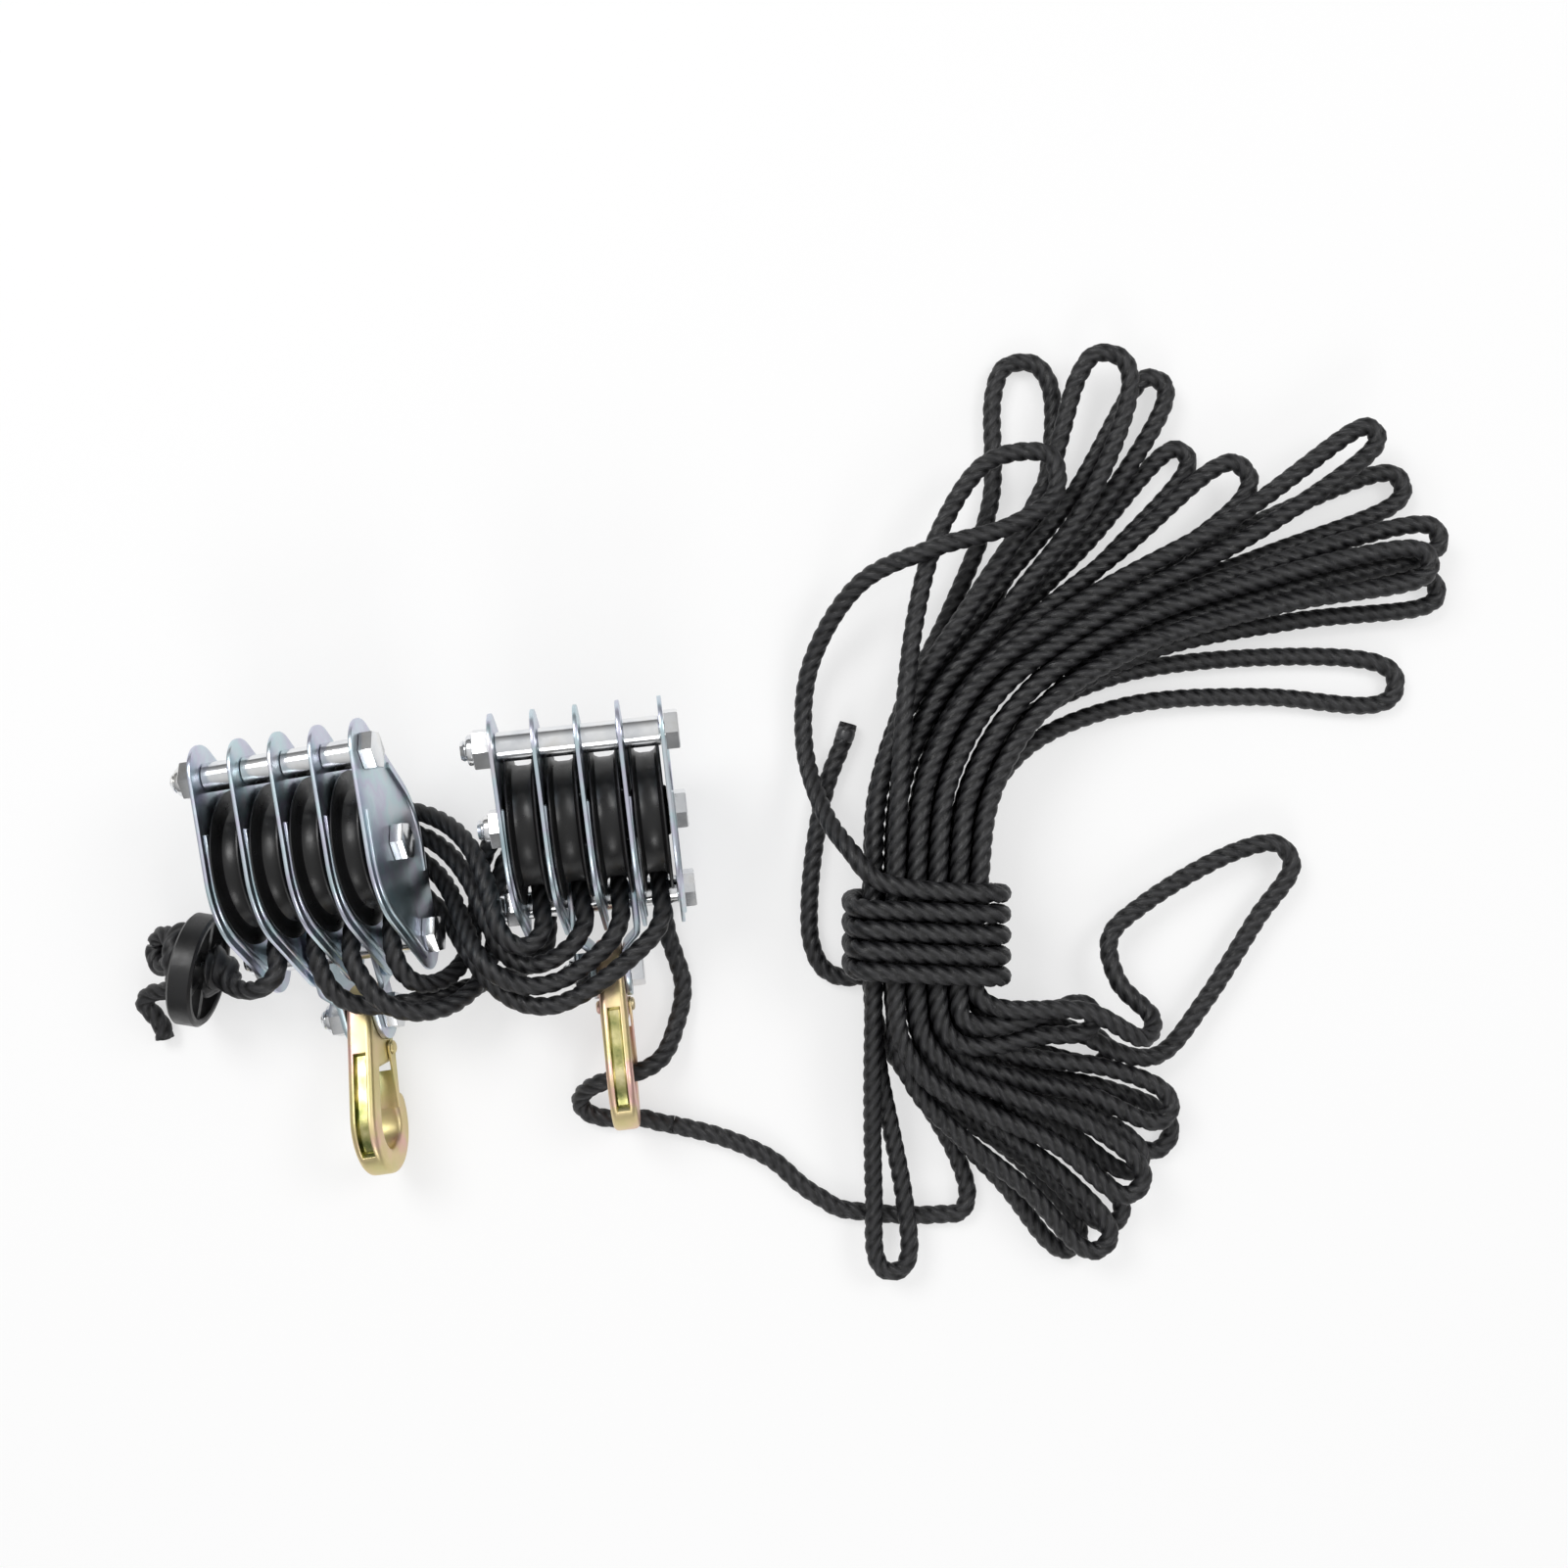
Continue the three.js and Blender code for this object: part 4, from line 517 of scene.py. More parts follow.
def tape_round(name, line, radius):
    """A thin sleeve that follows the last rings of a rope."""
    tangent, side, top = turned_frames(line)
    bm = bmesh.new()
    loops = []
    for i, centre in enumerate(line):
        turn = Matrix((tangent[i], side[i], top[i])).transposed().to_4x4()
        turn.translation = Vector(centre)
        outermost = i in (0, len(line) - 1)
        ring = bmesh.ops.create_circle(
            bm, segments=20, radius=radius * (0.9 if outermost else 1),
            matrix=turn @ Matrix.Rotation(math.pi / 2, 4, "Y"), cap_ends=outermost,
        )
        loops.append(list({e for v in ring["verts"] for e in v.link_edges}))
    for first, second in zip(loops[:-1], loops[1:]):
        bmesh.ops.bridge_loops(bm, edges=first + second)
    bmesh.ops.recalc_face_normals(bm, faces=bm.faces)
    mesh = mesh_from(bm, name, dark_tape)
    all_smooth(mesh)
    return in_scene(name, mesh)


TAPE_RADIUS = ROPE_DIAMETER * 0.515
end_tape = tape_round("end_tape", hauling_line[-5:-1], TAPE_RADIUS)
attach(hauling_rope, "haul_block")
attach(end_tape, "haul_block")

# %% [markdown]
# ## Reeved part, knot and stopper ring
# The standing end passes through the hub of a small spoked ring and is knotted behind it, so the
# ring cannot pull through. In front of the ring the strands are opened out into a cone. The seven
# parts between the blocks hang together in one bundle.

# %% Reeved rope with its opened cone
RING_CENTRE = Vector((-104.86961, -15.49317, 28.1))
RING_AXIS = Vector((0.988, -0.154, 0)).normalized()
RING_HALF_WIDTH = 6.0
CONE_RADIUS, CONE_RINGS, CONE_POWER = 14.6, 9, 1.4
BORE_SQUEEZE = 0.98

reach = np.array([(Vector(p) / MM - RING_CENTRE).dot(RING_AXIS) for p in reeved_line[:60]])
cone_start = int(np.argmax(reach > RING_HALF_WIDTH))
widen = np.ones(len(reeved_line))
for i in range(CONE_RINGS):
    growth = (CONE_RADIUS / (ROPE_DIAMETER / MM / 2) - 1) * (1 - i / CONE_RINGS) ** CONE_POWER
    widen[cone_start + i] = 1 + growth
widen[:cone_start] = BORE_SQUEEZE
reeved_rope = laid_rope("reeved_rope_strands", reeved_line, widen=widen)
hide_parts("reeved_rope")
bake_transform(reeved_rope)

# %% Stopper knot behind the ring
UP = Vector((0, 0, 1))
ring_turn = Matrix((RING_AXIS, UP.cross(RING_AXIS), UP)).transposed().to_4x4()
ring_place = Matrix.Translation(RING_CENTRE) @ ring_turn
KNOT_TURNS = (
    dict(radius=10, along=-11.2, side=8, rise=2, lean=0),
    dict(radius=8, along=-18, side=7, rise=3, lean=48),
)
KNOT_END = (
    (-304, -94, 22), (-311, -103.7, 16), (-321.5, -106.5, 12), (-325.5, -111.5, 9.5),
    (-321.5, -117.5, 7.8), (-317.8, -123.5, 6.4), (-316.6, -130, 5.4),
)
PICTURE_SHIFT = (186.53039, 76.90683, 0)  # the middle of the picture, in the frame
for number, coil in enumerate(KNOT_TURNS, 1):
    turn = (
        ring_place
        @ Matrix.Translation((coil["along"], coil["side"], coil["rise"]))
        @ Matrix.Rotation(math.pi / 2 + math.radians(coil["lean"]), 4, "Y")
    )
    size = coil["radius"]
    circle = [
        turn @ Vector((size * math.cos(a), size * math.sin(a), 0.6 * math.sin(a / 2)))
        for a in np.linspace(0.3, 2 * math.pi + 0.1, 40)
    ]
    knot_turn = laid_rope(f"knot_turn_{number}", np.array([tuple(p) for p in circle]) * MM)
    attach(knot_turn, "left_block")
    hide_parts("reeved_rope")
knot_end = laid_rope(
    "knot_end", smooth_line((np.array(KNOT_END) + np.array(PICTURE_SHIFT)) * MM, REEVED_STEP)
)
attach(knot_end, "left_block")
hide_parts("reeved_rope")

# %% [markdown]
# ## Making rigid pieces
# Each rigid piece is drawn in the frame of its block: X along the bolts, Y from the hook towards
# the top bolt, in millimetres. A turned piece is a profile that is spun round X; a flat one is an
# outline that is filled and extruded. One function then bevels the sharp edges, takes the mesh to
# its place on the floor and hands it to its body.

# %% Outline, extrusion, turning and finishing
ACROSS_FLATS = 17.0
SHARP_ANGLE, SMOOTH_ANGLE = 50, 32


def arc(centre, radius, start, stop, steps):
    """Points of an arc in the Y-Z plane; angles turn from +Y towards +Z, in degrees."""
    cy, cz = centre
    return [
        (cy + radius * math.cos(math.radians(a)), cz + radius * math.sin(math.radians(a)))
        for a in np.linspace(start, stop, steps + 1)
    ]


def round_hole(centre, radius):
    return arc(centre, radius, 0, 345, 23)


def plate_from(bm, outline, holes, start, end):
    """Fills an outline with holes and extrudes it along X."""
    edges, made = [], []
    for loop in (outline, *holes):
        ring = [bm.verts.new((start, y, z)) for y, z in loop]
        made += ring
        edges += [bm.edges.new((a, b)) for a, b in zip(ring, ring[1:] + ring[:1])]
    filled = bmesh.ops.triangle_fill(
        bm, use_beauty=True, use_dissolve=True, edges=edges, normal=(1, 0, 0),
    )
    faces = [f for f in filled["geom"] if isinstance(f, bmesh.types.BMFace)]
    grown = bmesh.ops.extrude_face_region(bm, geom=faces, use_keep_orig=True)
    moved = [v for v in grown["geom"] if isinstance(v, bmesh.types.BMVert)]
    bmesh.ops.translate(bm, verts=moved, vec=(end - start, 0, 0))
    return made + moved


def turned(bm, profile, centre=(0, 0), segments=24):
    """Spins a closed (x, radius) profile round a line along X."""
    cy, cz = centre
    ring = [bm.verts.new((x, cy, cz + radius)) for x, radius in profile]
    edges = [bm.edges.new((a, b)) for a, b in zip(ring, ring[1:] + ring[:1])]
    bmesh.ops.spin(
        bm, geom=ring + edges, cent=(0, cy, cz), axis=(1, 0, 0), angle=2 * math.pi,
        steps=segments, use_merge=True,
    )
    bmesh.ops.remove_doubles(bm, verts=bm.verts, dist=0.0005)


def rounded(bm, edges, offset, segments=2, material=-1, clamp=False):
    bmesh.ops.bevel(
        bm, geom=edges, offset=offset, segments=segments, profile=0.5, affect="EDGES",
        material=material, clamp_overlap=clamp, offset_type="OFFSET",
    )


def hexagon(bm, start, end, centre, bore=None):
    """A hexagon prism with its outer corners chamfered."""
    outline = arc(centre, ACROSS_FLATS / 2 / math.cos(math.pi / 6), 0, 300, 5)
    holes = [round_hole(centre, bore)] if bore else []
    before = set(bm.edges)
    plate_from(bm, outline, holes, start, end)
    far = [
        e for e in bm.edges
        if e not in before and len(e.link_faces) == 2
        and all(abs(v.co.x - end) < 1e-4 for v in e.verts)
        and max(math.dist((v.co.y, v.co.z), centre) for v in e.verts) > ACROSS_FLATS / 2
    ]
    rounded(bm, far, 0.8)


def finished(bm, name, place, looks, body, nodes, bevel=0.0):
    """Bevels, places and names a piece, and makes it stand for its CAD nodes."""
    bmesh.ops.recalc_face_normals(bm, faces=bm.faces)
    if bevel:
        edges = [
            e for e in bm.edges
            if len(e.link_faces) == 2 and e.calc_face_angle(0) > math.radians(SHARP_ANGLE)
        ]
        rounded(bm, edges, bevel, clamp=True)
    bmesh.ops.transform(bm, matrix=Matrix.Scale(MM, 4) @ place, verts=bm.verts)
    bmesh.ops.recalc_face_normals(bm, faces=bm.faces)
    mesh = mesh_from(bm, name, *looks)
    all_smooth(mesh)
    mesh.set_sharp_from_angle(angle=math.radians(SMOOTH_ANGLE))
    piece = in_scene(name, mesh)
    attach(piece, body)
    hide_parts(*nodes)


print("shop tools ready")

# %% Sizes of a block, in millimetres
PITCH = 19.5
THICKNESS = 2.0
TOP_BOLT = 50.0
BOTTOM_BOLT = -54.0
TOP_RADIUS, WAIST_RADIUS, BOTTOM_RADIUS = 16.0, 41.0, 17.0
WAIST = -4.0
BOLT_RADIUS = 5.0
HOLE_RADIUS = 5.3
BOLT_ROWS = (TOP_BOLT, 0, BOTTOM_BOLT)
SEAT = 0.3
STACK = 2 * PITCH + THICKNESS / 2

TOP_TANGENT = math.degrees(math.acos((WAIST_RADIUS - TOP_RADIUS) / (TOP_BOLT - WAIST)))
BOTTOM_SLOPE = (WAIST_RADIUS - BOTTOM_RADIUS) / (WAIST - BOTTOM_BOLT)
BOTTOM_TANGENT = 180 - math.degrees(math.acos(BOTTOM_SLOPE))
print("tangents", round(TOP_TANGENT, 1), round(BOTTOM_TANGENT, 1))

# %% [markdown]
# ## Side plate
# A blank cut from 2 mm sheet, with one bolt at each end and the axle bolt in the middle. A rib is
# pressed along each long edge to stiffen it: long on the near edge, short on the far one.

# %% Side plate with its pressed ribs
RIB_INSETS = (3.6, 6.8)
RIB_RISE = 1.2
RIB_UPPER_RUN = 21
NEAR_RIB_RUN, FAR_RIB_RUN = 43, 12
BOLT_CLEARANCE = 8


def rib(bm, lower_run, side):
    """A pressed rib: an offset of the plate's edge, raised and rounded."""
    def line(inset):
        bend = arc((WAIST, 0), WAIST_RADIUS - inset, TOP_TANGENT, BOTTOM_TANGENT, 14)
        up = (math.sin(math.radians(TOP_TANGENT)), -math.cos(math.radians(TOP_TANGENT)))
        down = (-math.sin(math.radians(BOTTOM_TANGENT)), math.cos(math.radians(BOTTOM_TANGENT)))
        first = (bend[0][0] + up[0] * RIB_UPPER_RUN, bend[0][1] + up[1] * RIB_UPPER_RUN)
        last = (bend[-1][0] + down[0] * lower_run, bend[-1][1] + down[1] * lower_run)
        return [first, *bend, last]
    outline = line(RIB_INSETS[0]) + line(RIB_INSETS[1])[::-1]
    grown = plate_from(bm, [(y, side * z) for y, z in outline], [], 0.2, THICKNESS / 2 + RIB_RISE)
    crest = [
        e for e in {e for v in grown for e in v.link_edges}
        if all(v.co.x > THICKNESS / 2 + 1 for v in e.verts)
    ]
    rounded(bm, crest, 1.1, segments=3)


def side_plate():
    bm = bmesh.new()
    outline = (
        arc((TOP_BOLT, 0), TOP_RADIUS, -TOP_TANGENT, TOP_TANGENT, 18)
        + arc((WAIST, 0), WAIST_RADIUS, TOP_TANGENT, BOTTOM_TANGENT, 16)
        + arc((BOTTOM_BOLT, 0), BOTTOM_RADIUS, BOTTOM_TANGENT, 360 - BOTTOM_TANGENT, 18)
        + arc((WAIST, 0), WAIST_RADIUS, 360 - BOTTOM_TANGENT, 360 - TOP_TANGENT, 16)
    )
    outline = [p for i, p in enumerate(outline) if math.dist(p, outline[i - 1]) > 0.01]
    holes = [round_hole((y, 0), HOLE_RADIUS) for y in BOLT_ROWS]
    plate_from(bm, outline, holes, -THICKNESS / 2, THICKNESS / 2)
    bmesh.ops.recalc_face_normals(bm, faces=bm.faces)
    def to_bolt(vertex):
        return min(math.dist((vertex.co.y, vertex.co.z), (y, 0)) for y in BOLT_ROWS)
    edges = [
        e for e in bm.edges
        if e.calc_face_angle(0) > 1 and all(to_bolt(v) > BOLT_CLEARANCE for v in e.verts)
    ]
    rounded(bm, edges, 0.45)
    rib(bm, NEAR_RIB_RUN, 1)
    rib(bm, FAR_RIB_RUN, -1)
    return bm


# %% [markdown]
# ## Sheave
# A black nylon wheel on the axle bolt: a hub that just clears both plates, a thin web, and a rim
# with a deep round groove that the rope beds into. The whole wheel is one profile, spun once.

# %% Sheave profile
def sheave():
    bm = bmesh.new()
    hub, rim, mouth = 8.45, 7.1, 6.1
    groove = [(mouth, 38.0), (mouth - 0.35, 37.0), (5.5, 34), (5.2, 31), (4.4, 29.8), (2.5, 29.0)]
    half = [
        (hub - 0.3, HOLE_RADIUS), (hub, HOLE_RADIUS + 0.3), (hub, 11.5), (hub - 0.5, 12.0),
        (5.7, 12.6), (5.2, 14.0), (5.2, 24.0), (5.8, 25.6), (rim - 0.1, 26.6), (rim, 28.0),
        (rim, 37.4), (rim - 0.3, 37.9), *groove,
    ]
    profile = half + [(-x, r) for x, r in reversed(half)]
    turned(bm, profile, segments=72)
    return bm


# %% [markdown]
# ## Bolts, lock nuts and spacer tubes
# Three long bolts clamp the plates. Bright tubes between the plates keep them apart, and each
# bolt ends in a lock nut, a hexagon with a round collar that holds a plastic insert, with a few
# threads standing out of it.

# %% Fasteners
HEAD, NUT, COLLAR, PROUD = 6.4, 8, 2.6, 3
THREAD_LENGTH, THREAD_PITCH = 14, 1.4
THREAD_ROOT, THREAD_CREST = 4.45, 4.95


def bolt(grip, centre=0.0):
    bm = bmesh.new()
    face = grip + SEAT
    tip = -grip - SEAT - NUT - COLLAR - PROUD
    threads = []
    x = tip + 0.6
    while x < tip + THREAD_LENGTH:
        threads += [(x, THREAD_ROOT), (x + THREAD_PITCH / 2, THREAD_CREST)]
        x += THREAD_PITCH
    shank = face + 0.4
    profile = [
        (tip, 0.0), (tip, 4.1), *threads, (x, THREAD_CREST), (shank, BOLT_RADIUS), (shank, 0.0),
    ]
    turned(bm, profile, (centre, 0))
    hexagon(bm, face, face + HEAD, (centre, 0))
    dish = [(5, 0.0), (5, 6.4), (6.38, 6.4), (6.38, 5.2), (6.0, 4.8), (6.0, 0.0)]
    turned(bm, [(face + along, radius) for along, radius in dish], (centre, 0))
    return bm


def lock_nut(grip, centre=0.0):
    bm = bmesh.new()
    face = -grip - SEAT
    hexagon(bm, face, face - NUT, (centre, 0), bore=HOLE_RADIUS)
    collar = face - NUT - COLLAR
    profile = [
        (face - 7, HOLE_RADIUS), (face - 7, 7.2), (collar + 0.9, 7.2), (collar + 0.25, 6.9),
        (collar, 6.3), (collar + 0.1, HOLE_RADIUS),
    ]
    turned(bm, profile, (centre, 0), 32)
    return bm


def spacer(start, end, centre):
    bm = bmesh.new()
    a, b = start + SEAT, end - SEAT
    profile = [
        (a, HOLE_RADIUS), (a, 6.6), (a + 0.35, 7.0), (b - 0.35, 7.0), (b, 6.6), (b, HOLE_RADIUS),
    ]
    turned(bm, profile, (centre, 0), 36)
    return bm


# %% [markdown]
# ## Hook carrier
# Two legs of thick strip hang on the bottom bolt and are bent in towards the clevis bolt, where
# the hook's eye sits between them. A leg starts as a flat slotted shape; cuts across it let its
# middle follow the bend.

# %% Carrier leg
CLEVIS = -37.0
LEG_TOP, LEG_CLEVIS = 15.5, 8.3
LEG_END, LEG_HALF_THICKNESS = 14, 1.5
BEND_START, BEND_RUN = -17, 9.5


def carrier_leg(side):
    bm = bmesh.new()
    outline = arc((0, 0), LEG_END, -90, 90, 16) + arc((CLEVIS, 0), LEG_END, 90, 270, 16)
    holes = [round_hole((y, 0), HOLE_RADIUS) for y in (0, CLEVIS)]
    plate_from(bm, outline, holes, -LEG_HALF_THICKNESS, LEG_HALF_THICKNESS)
    for y in np.linspace(-16.5, -27, 9):
        geom = bm.verts[:] + bm.edges[:] + bm.faces[:]
        bmesh.ops.bisect_plane(bm, geom=geom, plane_co=(0, y, 0), plane_no=(0, 1, 0))
    for vertex in bm.verts:
        share = min(1, max(0, (BEND_START - vertex.co.y) / BEND_RUN))
        share = share * share * (3 - 2 * share)
        vertex.co.x += side * (LEG_TOP + (LEG_CLEVIS - LEG_TOP) * share)
    return bm


# %% [markdown]
# ## Hook
# A forged hook: a flat eye, a straight shank and a round bowl. A channel runs down the middle of
# its back and round the bowl, and a short one faces it inside the throat. It starts as one outline
# with the eye's hole. The faces of the channels are inset and pushed in, and the outer edges are
# then rounded, which needs side faces without small triangles: they are dissolved strip by strip.

# %% Hook body and latch rivet
EYE_RADIUS = 15.5
BOWL, BOWL_RADIUS, SECTION = 55.0, 25.0, 12.0
BACK_ANGLE = 180 - math.degrees(math.acos((BOWL_RADIUS - EYE_RADIUS) / BOWL))
TIP_ANGLE = -118.0
HALF_HOOK = 6.5
RIVET = (-18.0, -6.4)
SIDE_CUTS = (0, -20, -34, -41, -48)
CHANNEL_HALF_WIDTH, CHANNEL_BRIM, CHANNEL_DEPTH = 3.2, 0.9, 3.2


def hook():
    bm = bmesh.new()
    def bend(along, radius, start, stop, steps, rise=0.0):
        return [(-y, z) for y, z in arc((along, rise), radius, start, stop, steps)]
    middle = BOWL_RADIUS - SECTION / 2
    tip_along = BOWL + middle * math.cos(math.radians(TIP_ANGLE))
    tip_rise = middle * math.sin(math.radians(TIP_ANGLE))
    outline = [
        (-24.0, -14.0),
        *bend(0, EYE_RADIUS, 270, BACK_ANGLE, 22),
        *bend(BOWL, BOWL_RADIUS, BACK_ANGLE, TIP_ANGLE, 44),
        *bend(tip_along, SECTION / 2, TIP_ANGLE, TIP_ANGLE - 180, 10, tip_rise)[1:-1],
        *bend(BOWL, BOWL_RADIUS - SECTION, TIP_ANGLE, 90, 30),
        (-28.0, 9.0),
    ]
    eye_hole = bend(0, HOLE_RADIUS + 0.7, 0, 345, 23)
    plate_from(bm, outline, [eye_hole], -HALF_HOOK, HALF_HOOK)
    channel_sides = (-CHANNEL_HALF_WIDTH, CHANNEL_HALF_WIDTH)
    for normal, places in (((0, 1, 0), SIDE_CUTS), ((1, 0, 0), channel_sides)):
        for place in places:
            bmesh.ops.bisect_plane(
                bm, geom=bm.verts[:] + bm.edges[:] + bm.faces[:],
                plane_co=[place * n for n in normal], plane_no=normal, dist=0.05,
            )
    for upper, lower in zip((99, *SIDE_CUTS), (*SIDE_CUTS, -99)):
        for side in (-HALF_HOOK, HALF_HOOK):
            strip = [
                f for f in bm.faces
                if all(abs(v.co.x - side) < 1e-4 for v in f.verts)
                and lower < f.calc_center_median().y < upper
            ]
            bmesh.ops.dissolve_faces(bm, faces=strip)
    bmesh.ops.recalc_face_normals(bm, faces=bm.faces)
    bm.normal_update()
    def in_channel(face):
        centre = face.calc_center_median()
        if abs(face.normal.x) > 0.5 or abs(centre.x) > CHANNEL_HALF_WIDTH:
            return False
        if centre.y > -BOWL:
            inner = face.normal.z < -0.9 and centre.y < -34 and centre.z > 8
            return inner or (centre.y < -19 and face.normal.z > 0.7 and centre.z > 12)
        reach = math.hypot(centre.y + BOWL, centre.z)
        angle = math.degrees(math.atan2(centre.z, -centre.y - BOWL))
        return reach > BOWL_RADIUS - 2 and angle > 48
    channel = [f for f in bm.faces if in_channel(f)]
    sunk = bmesh.ops.inset_region(
        bm, faces=channel, thickness=CHANNEL_BRIM, depth=-CHANNEL_DEPTH, use_even_offset=True,
        use_boundary=True,
    )
    # The channel faces take the second look, which is painted darker as shade in the recess.
    for face in channel + sunk["faces"]:
        face.material_index = 1
    outer = [
        e for e in bm.edges
        if len(e.link_faces) == 2 and e.calc_face_angle(0) > math.radians(SHARP_ANGLE)
        and all(abs(abs(v.co.x) - HALF_HOOK) < 1e-3 for v in e.verts)
        and max(math.hypot(v.co.y, v.co.z) for v in e.verts) > 8
    ]
    rounded(bm, outer, 2.6, segments=5)
    brim = [
        e for e in bm.edges
        if len(e.link_faces) == 2 and {f.material_index for f in e.link_faces} == {0, 1}
    ]
    rounded(bm, brim, 0.35, material=0)
    for side in (-1, 1):
        head = ((8.2, 0.0), (8.2, 3.4), (9.1, 3.2), (9.7, 2.2), (9.9, 0.0))
        turned(bm, [(side * x, radius) for x, radius in head], RIVET, 20)
    turned(bm, [(-8.4, 0.0), (-8.4, 2.0), (8.4, 2.0), (8.4, 0.0)], RIVET, 20)
    return bm


# %% Safety latch
LATCH_SHEET = 1.2


def hook_latch():
    bm = bmesh.new()
    inner, outer = HALF_HOOK + 0.3, HALF_HOOK + 1.5
    edge, tip = -10.4, -48.0
    cheek = [
        *[(-y, z) for y, z in arc((18, -6.4), 4, 90, 270, 12)],
        (tip, edge), (tip, edge + 3),
    ]
    hole = arc(RIVET, 2.3, 0, 340, 17)
    for start in (inner, -outer):
        plate_from(bm, cheek, [hole], start, start + LATCH_SHEET)
    web = [(-29.0, edge), (tip, edge), (tip, edge + LATCH_SHEET), (-29.0, edge + LATCH_SHEET)]
    plate_from(bm, web, [], -inner - 0.02, inner + 0.02)
    return bm


print("hook back angle", round(BACK_ANGLE, 1))

# %% [markdown]
# ## Setting up the two blocks
# Both blocks are the same set of pieces. They differ only in how they lie: heading, tilt and roll,
# and how far the carrier and the hook have swung down to the floor.

# %% The lie of each block, and every piece on it
BLOCKS = (
    dict(name="left", body="left_block", centre=(-39.66961, 42.40683, 52.37216),
         turns=(12.0, 27.5, -6.0), carrier=9.87310, hook=37.61901),
    dict(name="right", body="haul_block", centre=(93.33039, 60.40683, 55.00961),
         turns=(3.0, 41.5, 5.0), carrier=36.63032, hook=51.57633),
)
BAY = PITCH - THICKNESS
CARRIER_HALF_WIDTH = 14.0
CLEVIS_GRIP = 9.8


def lie_of(block):
    heading, tilt, roll = (math.radians(a) for a in block["turns"])
    return (
        Matrix.Translation(block["centre"]) @ Matrix.Rotation(heading, 4, "Z")
        @ Matrix.Rotation(tilt, 4, "X") @ Matrix.Rotation(roll, 4, "Y")
    )


def swing(angle):
    return Matrix.Rotation(-math.radians(angle), 4, "X")


def fastener(bm, side, node, made, place, body):
    finished(bm, f"{side}_{made}", place, [bright_zinc], body, [f"{side}_{node}"])


for block in BLOCKS:
    side, body, lie = block["name"], block["body"], lie_of(block)
    for number in range(5):
        place = lie @ Matrix.Translation(((number - 2) * PITCH, 0, 0))
        node = f"{side}_side_plate_{number + 1}"
        finished(side_plate(), f"{node}_pressed", place, [zinc_plate], body, [node])
    for number in range(4):
        middle = (number - 1.5) * PITCH
        node = f"{side}_sheave_{number + 1}"
        place = lie @ Matrix.Translation((middle, 0, 0))
        finished(sheave(), f"{node}_turned", place, [black_plastic], node, [node])
        node = f"top_spacer_{number + 1}"
        tube = spacer(middle - BAY / 2, middle + BAY / 2, TOP_BOLT)
        fastener(tube, side, node, f"{node}_tube", lie, body)
        start = -CARRIER_HALF_WIDTH if number == 1 else middle - BAY / 2
        end = CARRIER_HALF_WIDTH if number == 2 else middle + BAY / 2
        node = f"bottom_spacer_{number + 1}"
        fastener(spacer(start, end, BOTTOM_BOLT), side, node, f"{node}_tube", lie, body)
    for row, y in zip(("top", "axle", "bottom"), BOLT_ROWS):
        fastener(bolt(STACK, y), side, f"{row}_bolt", f"{row}_bolt_threaded", lie, body)
        fastener(lock_nut(STACK, y), side, f"{row}_nut", f"{row}_lock_nut", lie, body)
    carrier = f"{side}_carrier"
    swung = lie @ Matrix.Translation((0, BOTTOM_BOLT, 0)) @ swing(block["carrier"])
    for way, sign in (("left", -1), ("right", 1)):
        node = f"{side}_carrier_leg_{way}"
        leg = carrier_leg(sign)
        finished(leg, f"{node}_bent", swung, [zinc_plate], carrier, [node], bevel=0.5)
    clevis = swung @ Matrix.Translation((0, CLEVIS, 0))
    fastener(bolt(CLEVIS_GRIP), side, "clevis_bolt", "clevis_bolt_threaded", clevis, carrier)
    fastener(lock_nut(CLEVIS_GRIP), side, "clevis_bolt", "clevis_lock_nut", clevis, carrier)
    eye_axis = swung @ Vector((0, CLEVIS, 0))
    hooked = Matrix.Translation(eye_axis) @ lie.to_3x3().to_4x4() @ swing(block["hook"])
    node = f"{side}_hook"
    looks = [hook_gold, channel_shaded_gold]
    finished(hook(), f"{node}_forged", hooked, looks, node, [node])
    node = f"{side}_hook_latch"
    latch = hook_latch()
    finished(latch, f"{node}_folded", hooked, [hook_gold], node, [node], bevel=0.25)
    print(side, "block: 5 plates, 4 sheaves, 8 spacers, 4 bolts, hook and latch")

# %% [markdown]
# ## Stopper ring
# A small moulded wheel: a rounded rim, six spokes and a hub whose bore is just larger than the
# rope. Rim and hub are spun; each spoke is an extruded bar turned into its place.

# %% Stopper ring
bm = bmesh.new()
rim_out, rim_in = 28.0, 24.0
rim = (
    (-1, rim_in + 0.8), (-1, rim_out - 1.2), (-0.8, rim_out), (0.8, rim_out),
    (1, rim_out - 1.2), (1, rim_in + 0.8), (0.86, rim_in), (-0.86, rim_in),
)
turned(bm, [(x * RING_HALF_WIDTH, radius) for x, radius in rim], segments=72)
turned(bm, [(-6, 5.6), (-6, 8.9), (-5.4, 9.5), (5.4, 9.5), (6, 8.9), (6, 5.6)], segments=40)
for number in range(6):
    bar = plate_from(bm, [(7.5, -2), (25, -2), (25, 2), (7.5, 2)], [], -3.5, 3.5)
    turn = Matrix.Rotation(math.radians(60 * number), 3, "X")
    bmesh.ops.rotate(bm, verts=bar, cent=(0, 0, 0), matrix=turn)
finished(
    bm, "left_stopper_ring_moulded", ring_place, [black_plastic], "left_block",
    ["left_stopper_ring"],
)
print("stopper ring", round(RING_CENTRE.z, 1), "mm up")

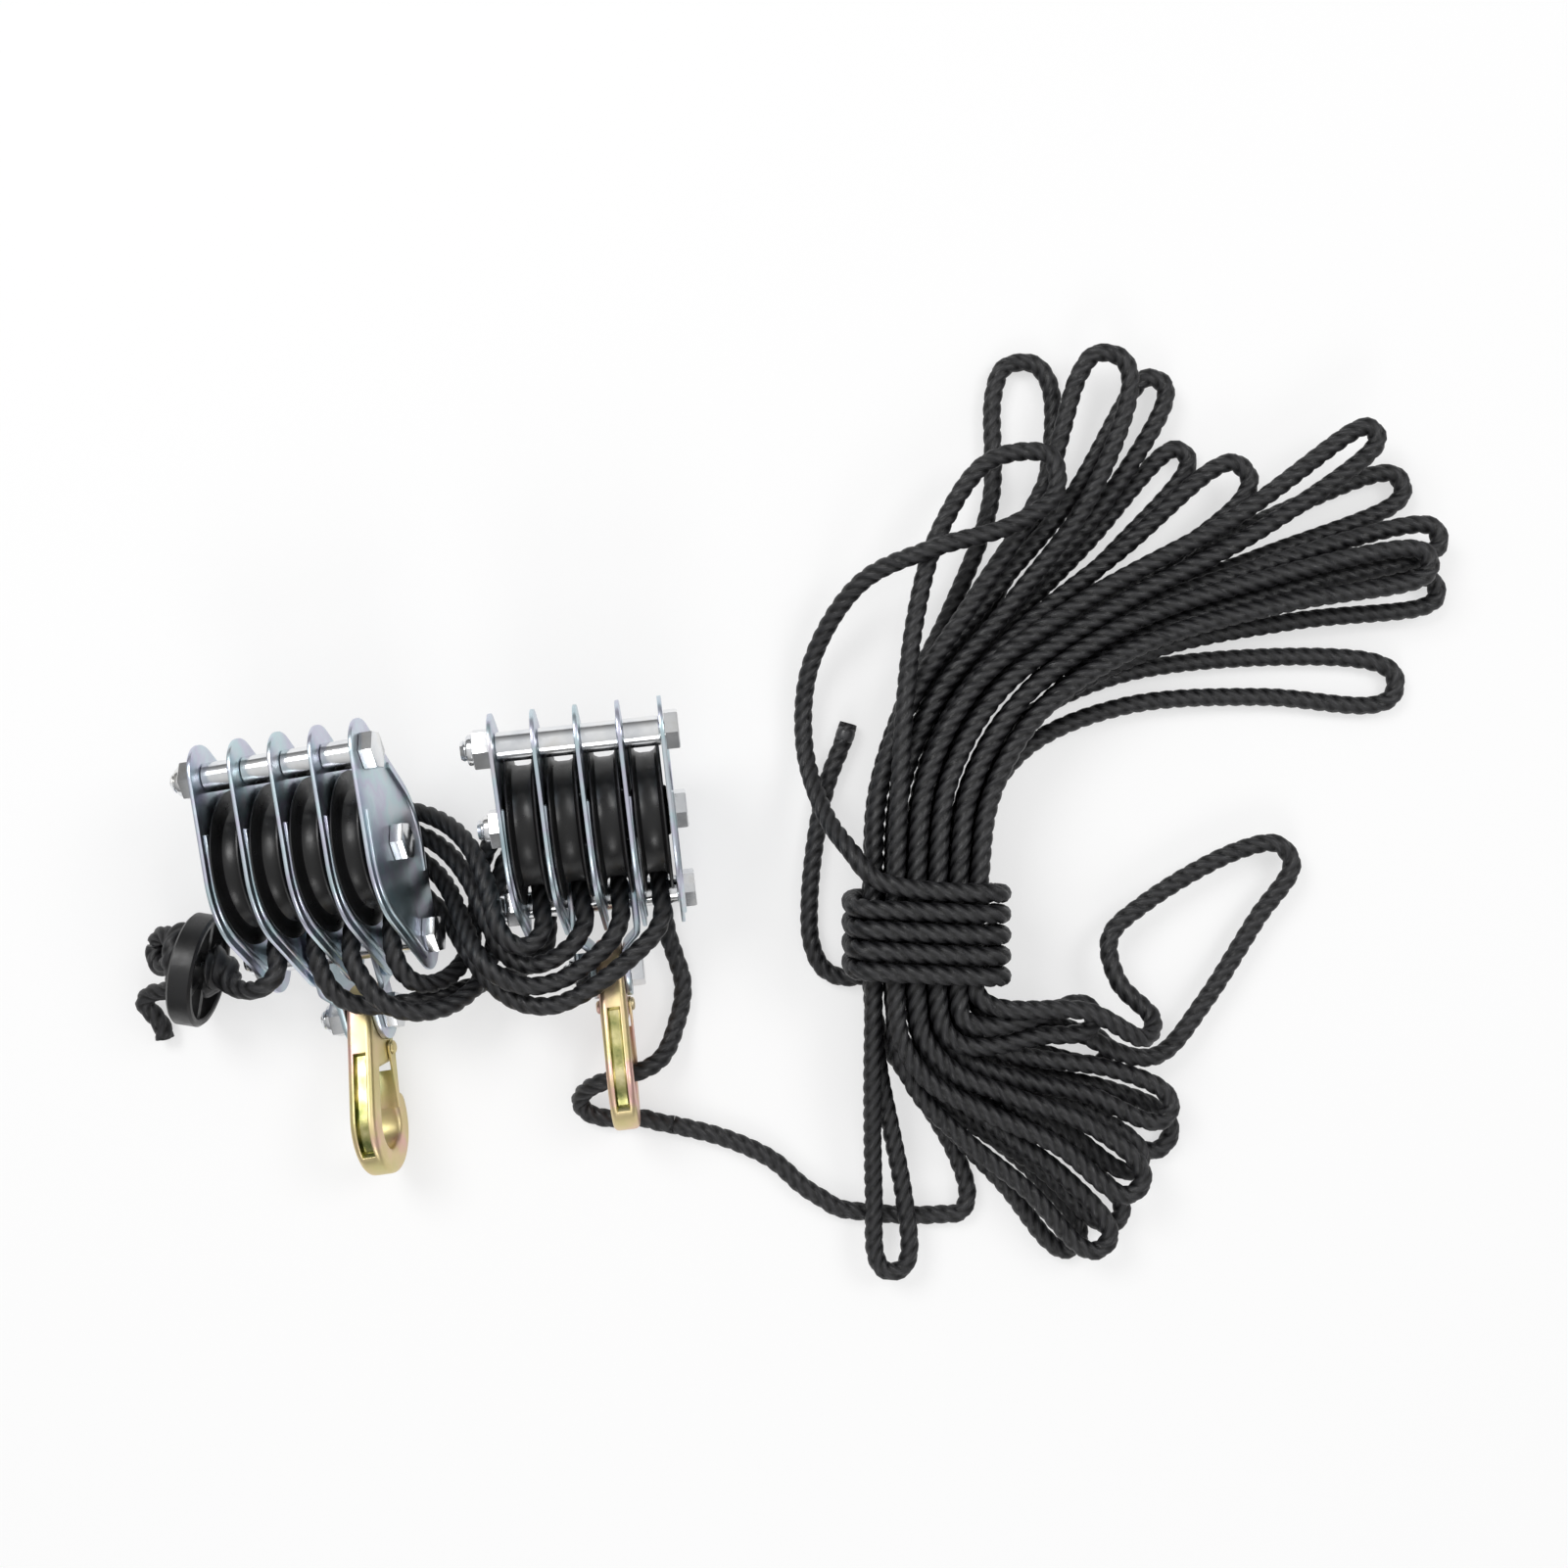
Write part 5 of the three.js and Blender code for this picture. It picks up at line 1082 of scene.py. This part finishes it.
# %% [markdown]
# ## Floor and light
# The picture has a plain white ground and a broad soft light from above, a little from the top
# left. The floor is a pale sheet that glows a little towards the camera, and less so in the metal
# that mirrors it, and still takes the object's soft shadow. The world lights the metal from above
# and is plain white where the camera sees it.

# %% Floor
CAMERA_GLOW, MIRROR_GLOW = 0.6, 0.4
FLOOR_HALF_SIZE = 40

bm = bmesh.new()
bmesh.ops.create_grid(bm, x_segments=1, y_segments=1, size=FLOOR_HALF_SIZE)
pale, shader = new_look("pale_floor", 0.9, 0.0)
feed(pale, shader, {"Base Color": (0.9, 0.9, 0.9, 1), "Specular IOR Level": 0.1})
ray = shader_node(pale, "LightPath")
seen = shader_node(
    pale, "Math", {0: ray.outputs["Is Camera Ray"], 1: CAMERA_GLOW}, operation="MULTIPLY"
)
mirrored = shader_node(
    pale, "Math", {0: ray.outputs["Is Glossy Ray"], 1: MIRROR_GLOW, 2: seen.outputs["Value"]},
    operation="MULTIPLY_ADD",
)
white = shader_node(pale, "Emission", {"Strength": 1.0})
both = shader_node(pale, "MixShader", {
    "Fac": mirrored.outputs["Value"], 1: shader.outputs["BSDF"], 2: white.outputs["Emission"],
})
feed(pale, pale.node_tree.nodes["Material Output"], {"Surface": both.outputs["Shader"]})
floor = in_scene("floor_sheet", mesh_from(bm, "floor_sheet", pale))
floor.location.z = -0.0003

# %% Lamps and world
def soft_lamp(name, place, target, size, power):
    lamp = bpy.data.lights.new(name, "AREA")
    lamp.shape = "DISK"
    lamp.size = size
    lamp.energy = power
    holder = in_scene(name, lamp)
    holder.location = place
    holder.rotation_euler = (Vector(target) - Vector(place)).to_track_quat("-Z", "Y").to_euler()


middle = (0.17, 0.05, 0)
soft_lamp("lamp_above_left", (-0.9, 1.1, 1.9), middle, 1.1, 22)
soft_lamp("lamp_above_right", (1.5, 0.7, 1.7), middle, 0.9, 11)
soft_lamp("lamp_front", (0.2, -1.7, 1.3), middle, 0.8, 7)
world = bpy.data.worlds.new("pale_room")
bpy.context.scene.world = world
world.use_nodes = True
ground = world.node_tree.nodes["Background"]
where = shader_node(world, "TexCoord").outputs["Generated"]
height = shader_node(world, "SeparateXYZ", {"Vector": where}).outputs["Z"]
stops = [(place, (grey, grey, grey)) for place, grey in ((0.0, 0.16), (0.3, 0.32), (1.0, 1.0))]
feed(world, ground, {"Color": ramp(world, height, stops), "Strength": 0.8})
plain = shader_node(world, "Background", {"Color": (1, 1, 1, 1), "Strength": 1.0})
either = shader_node(world, "MixShader", {
    "Fac": shader_node(world, "LightPath").outputs["Is Camera Ray"],
    1: ground.outputs["Background"], 2: plain.outputs["Background"],
})
feed(world, world.node_tree.nodes["World Output"], {"Surface": either.outputs["Shader"]})
print("lamps", len(bpy.data.lights))
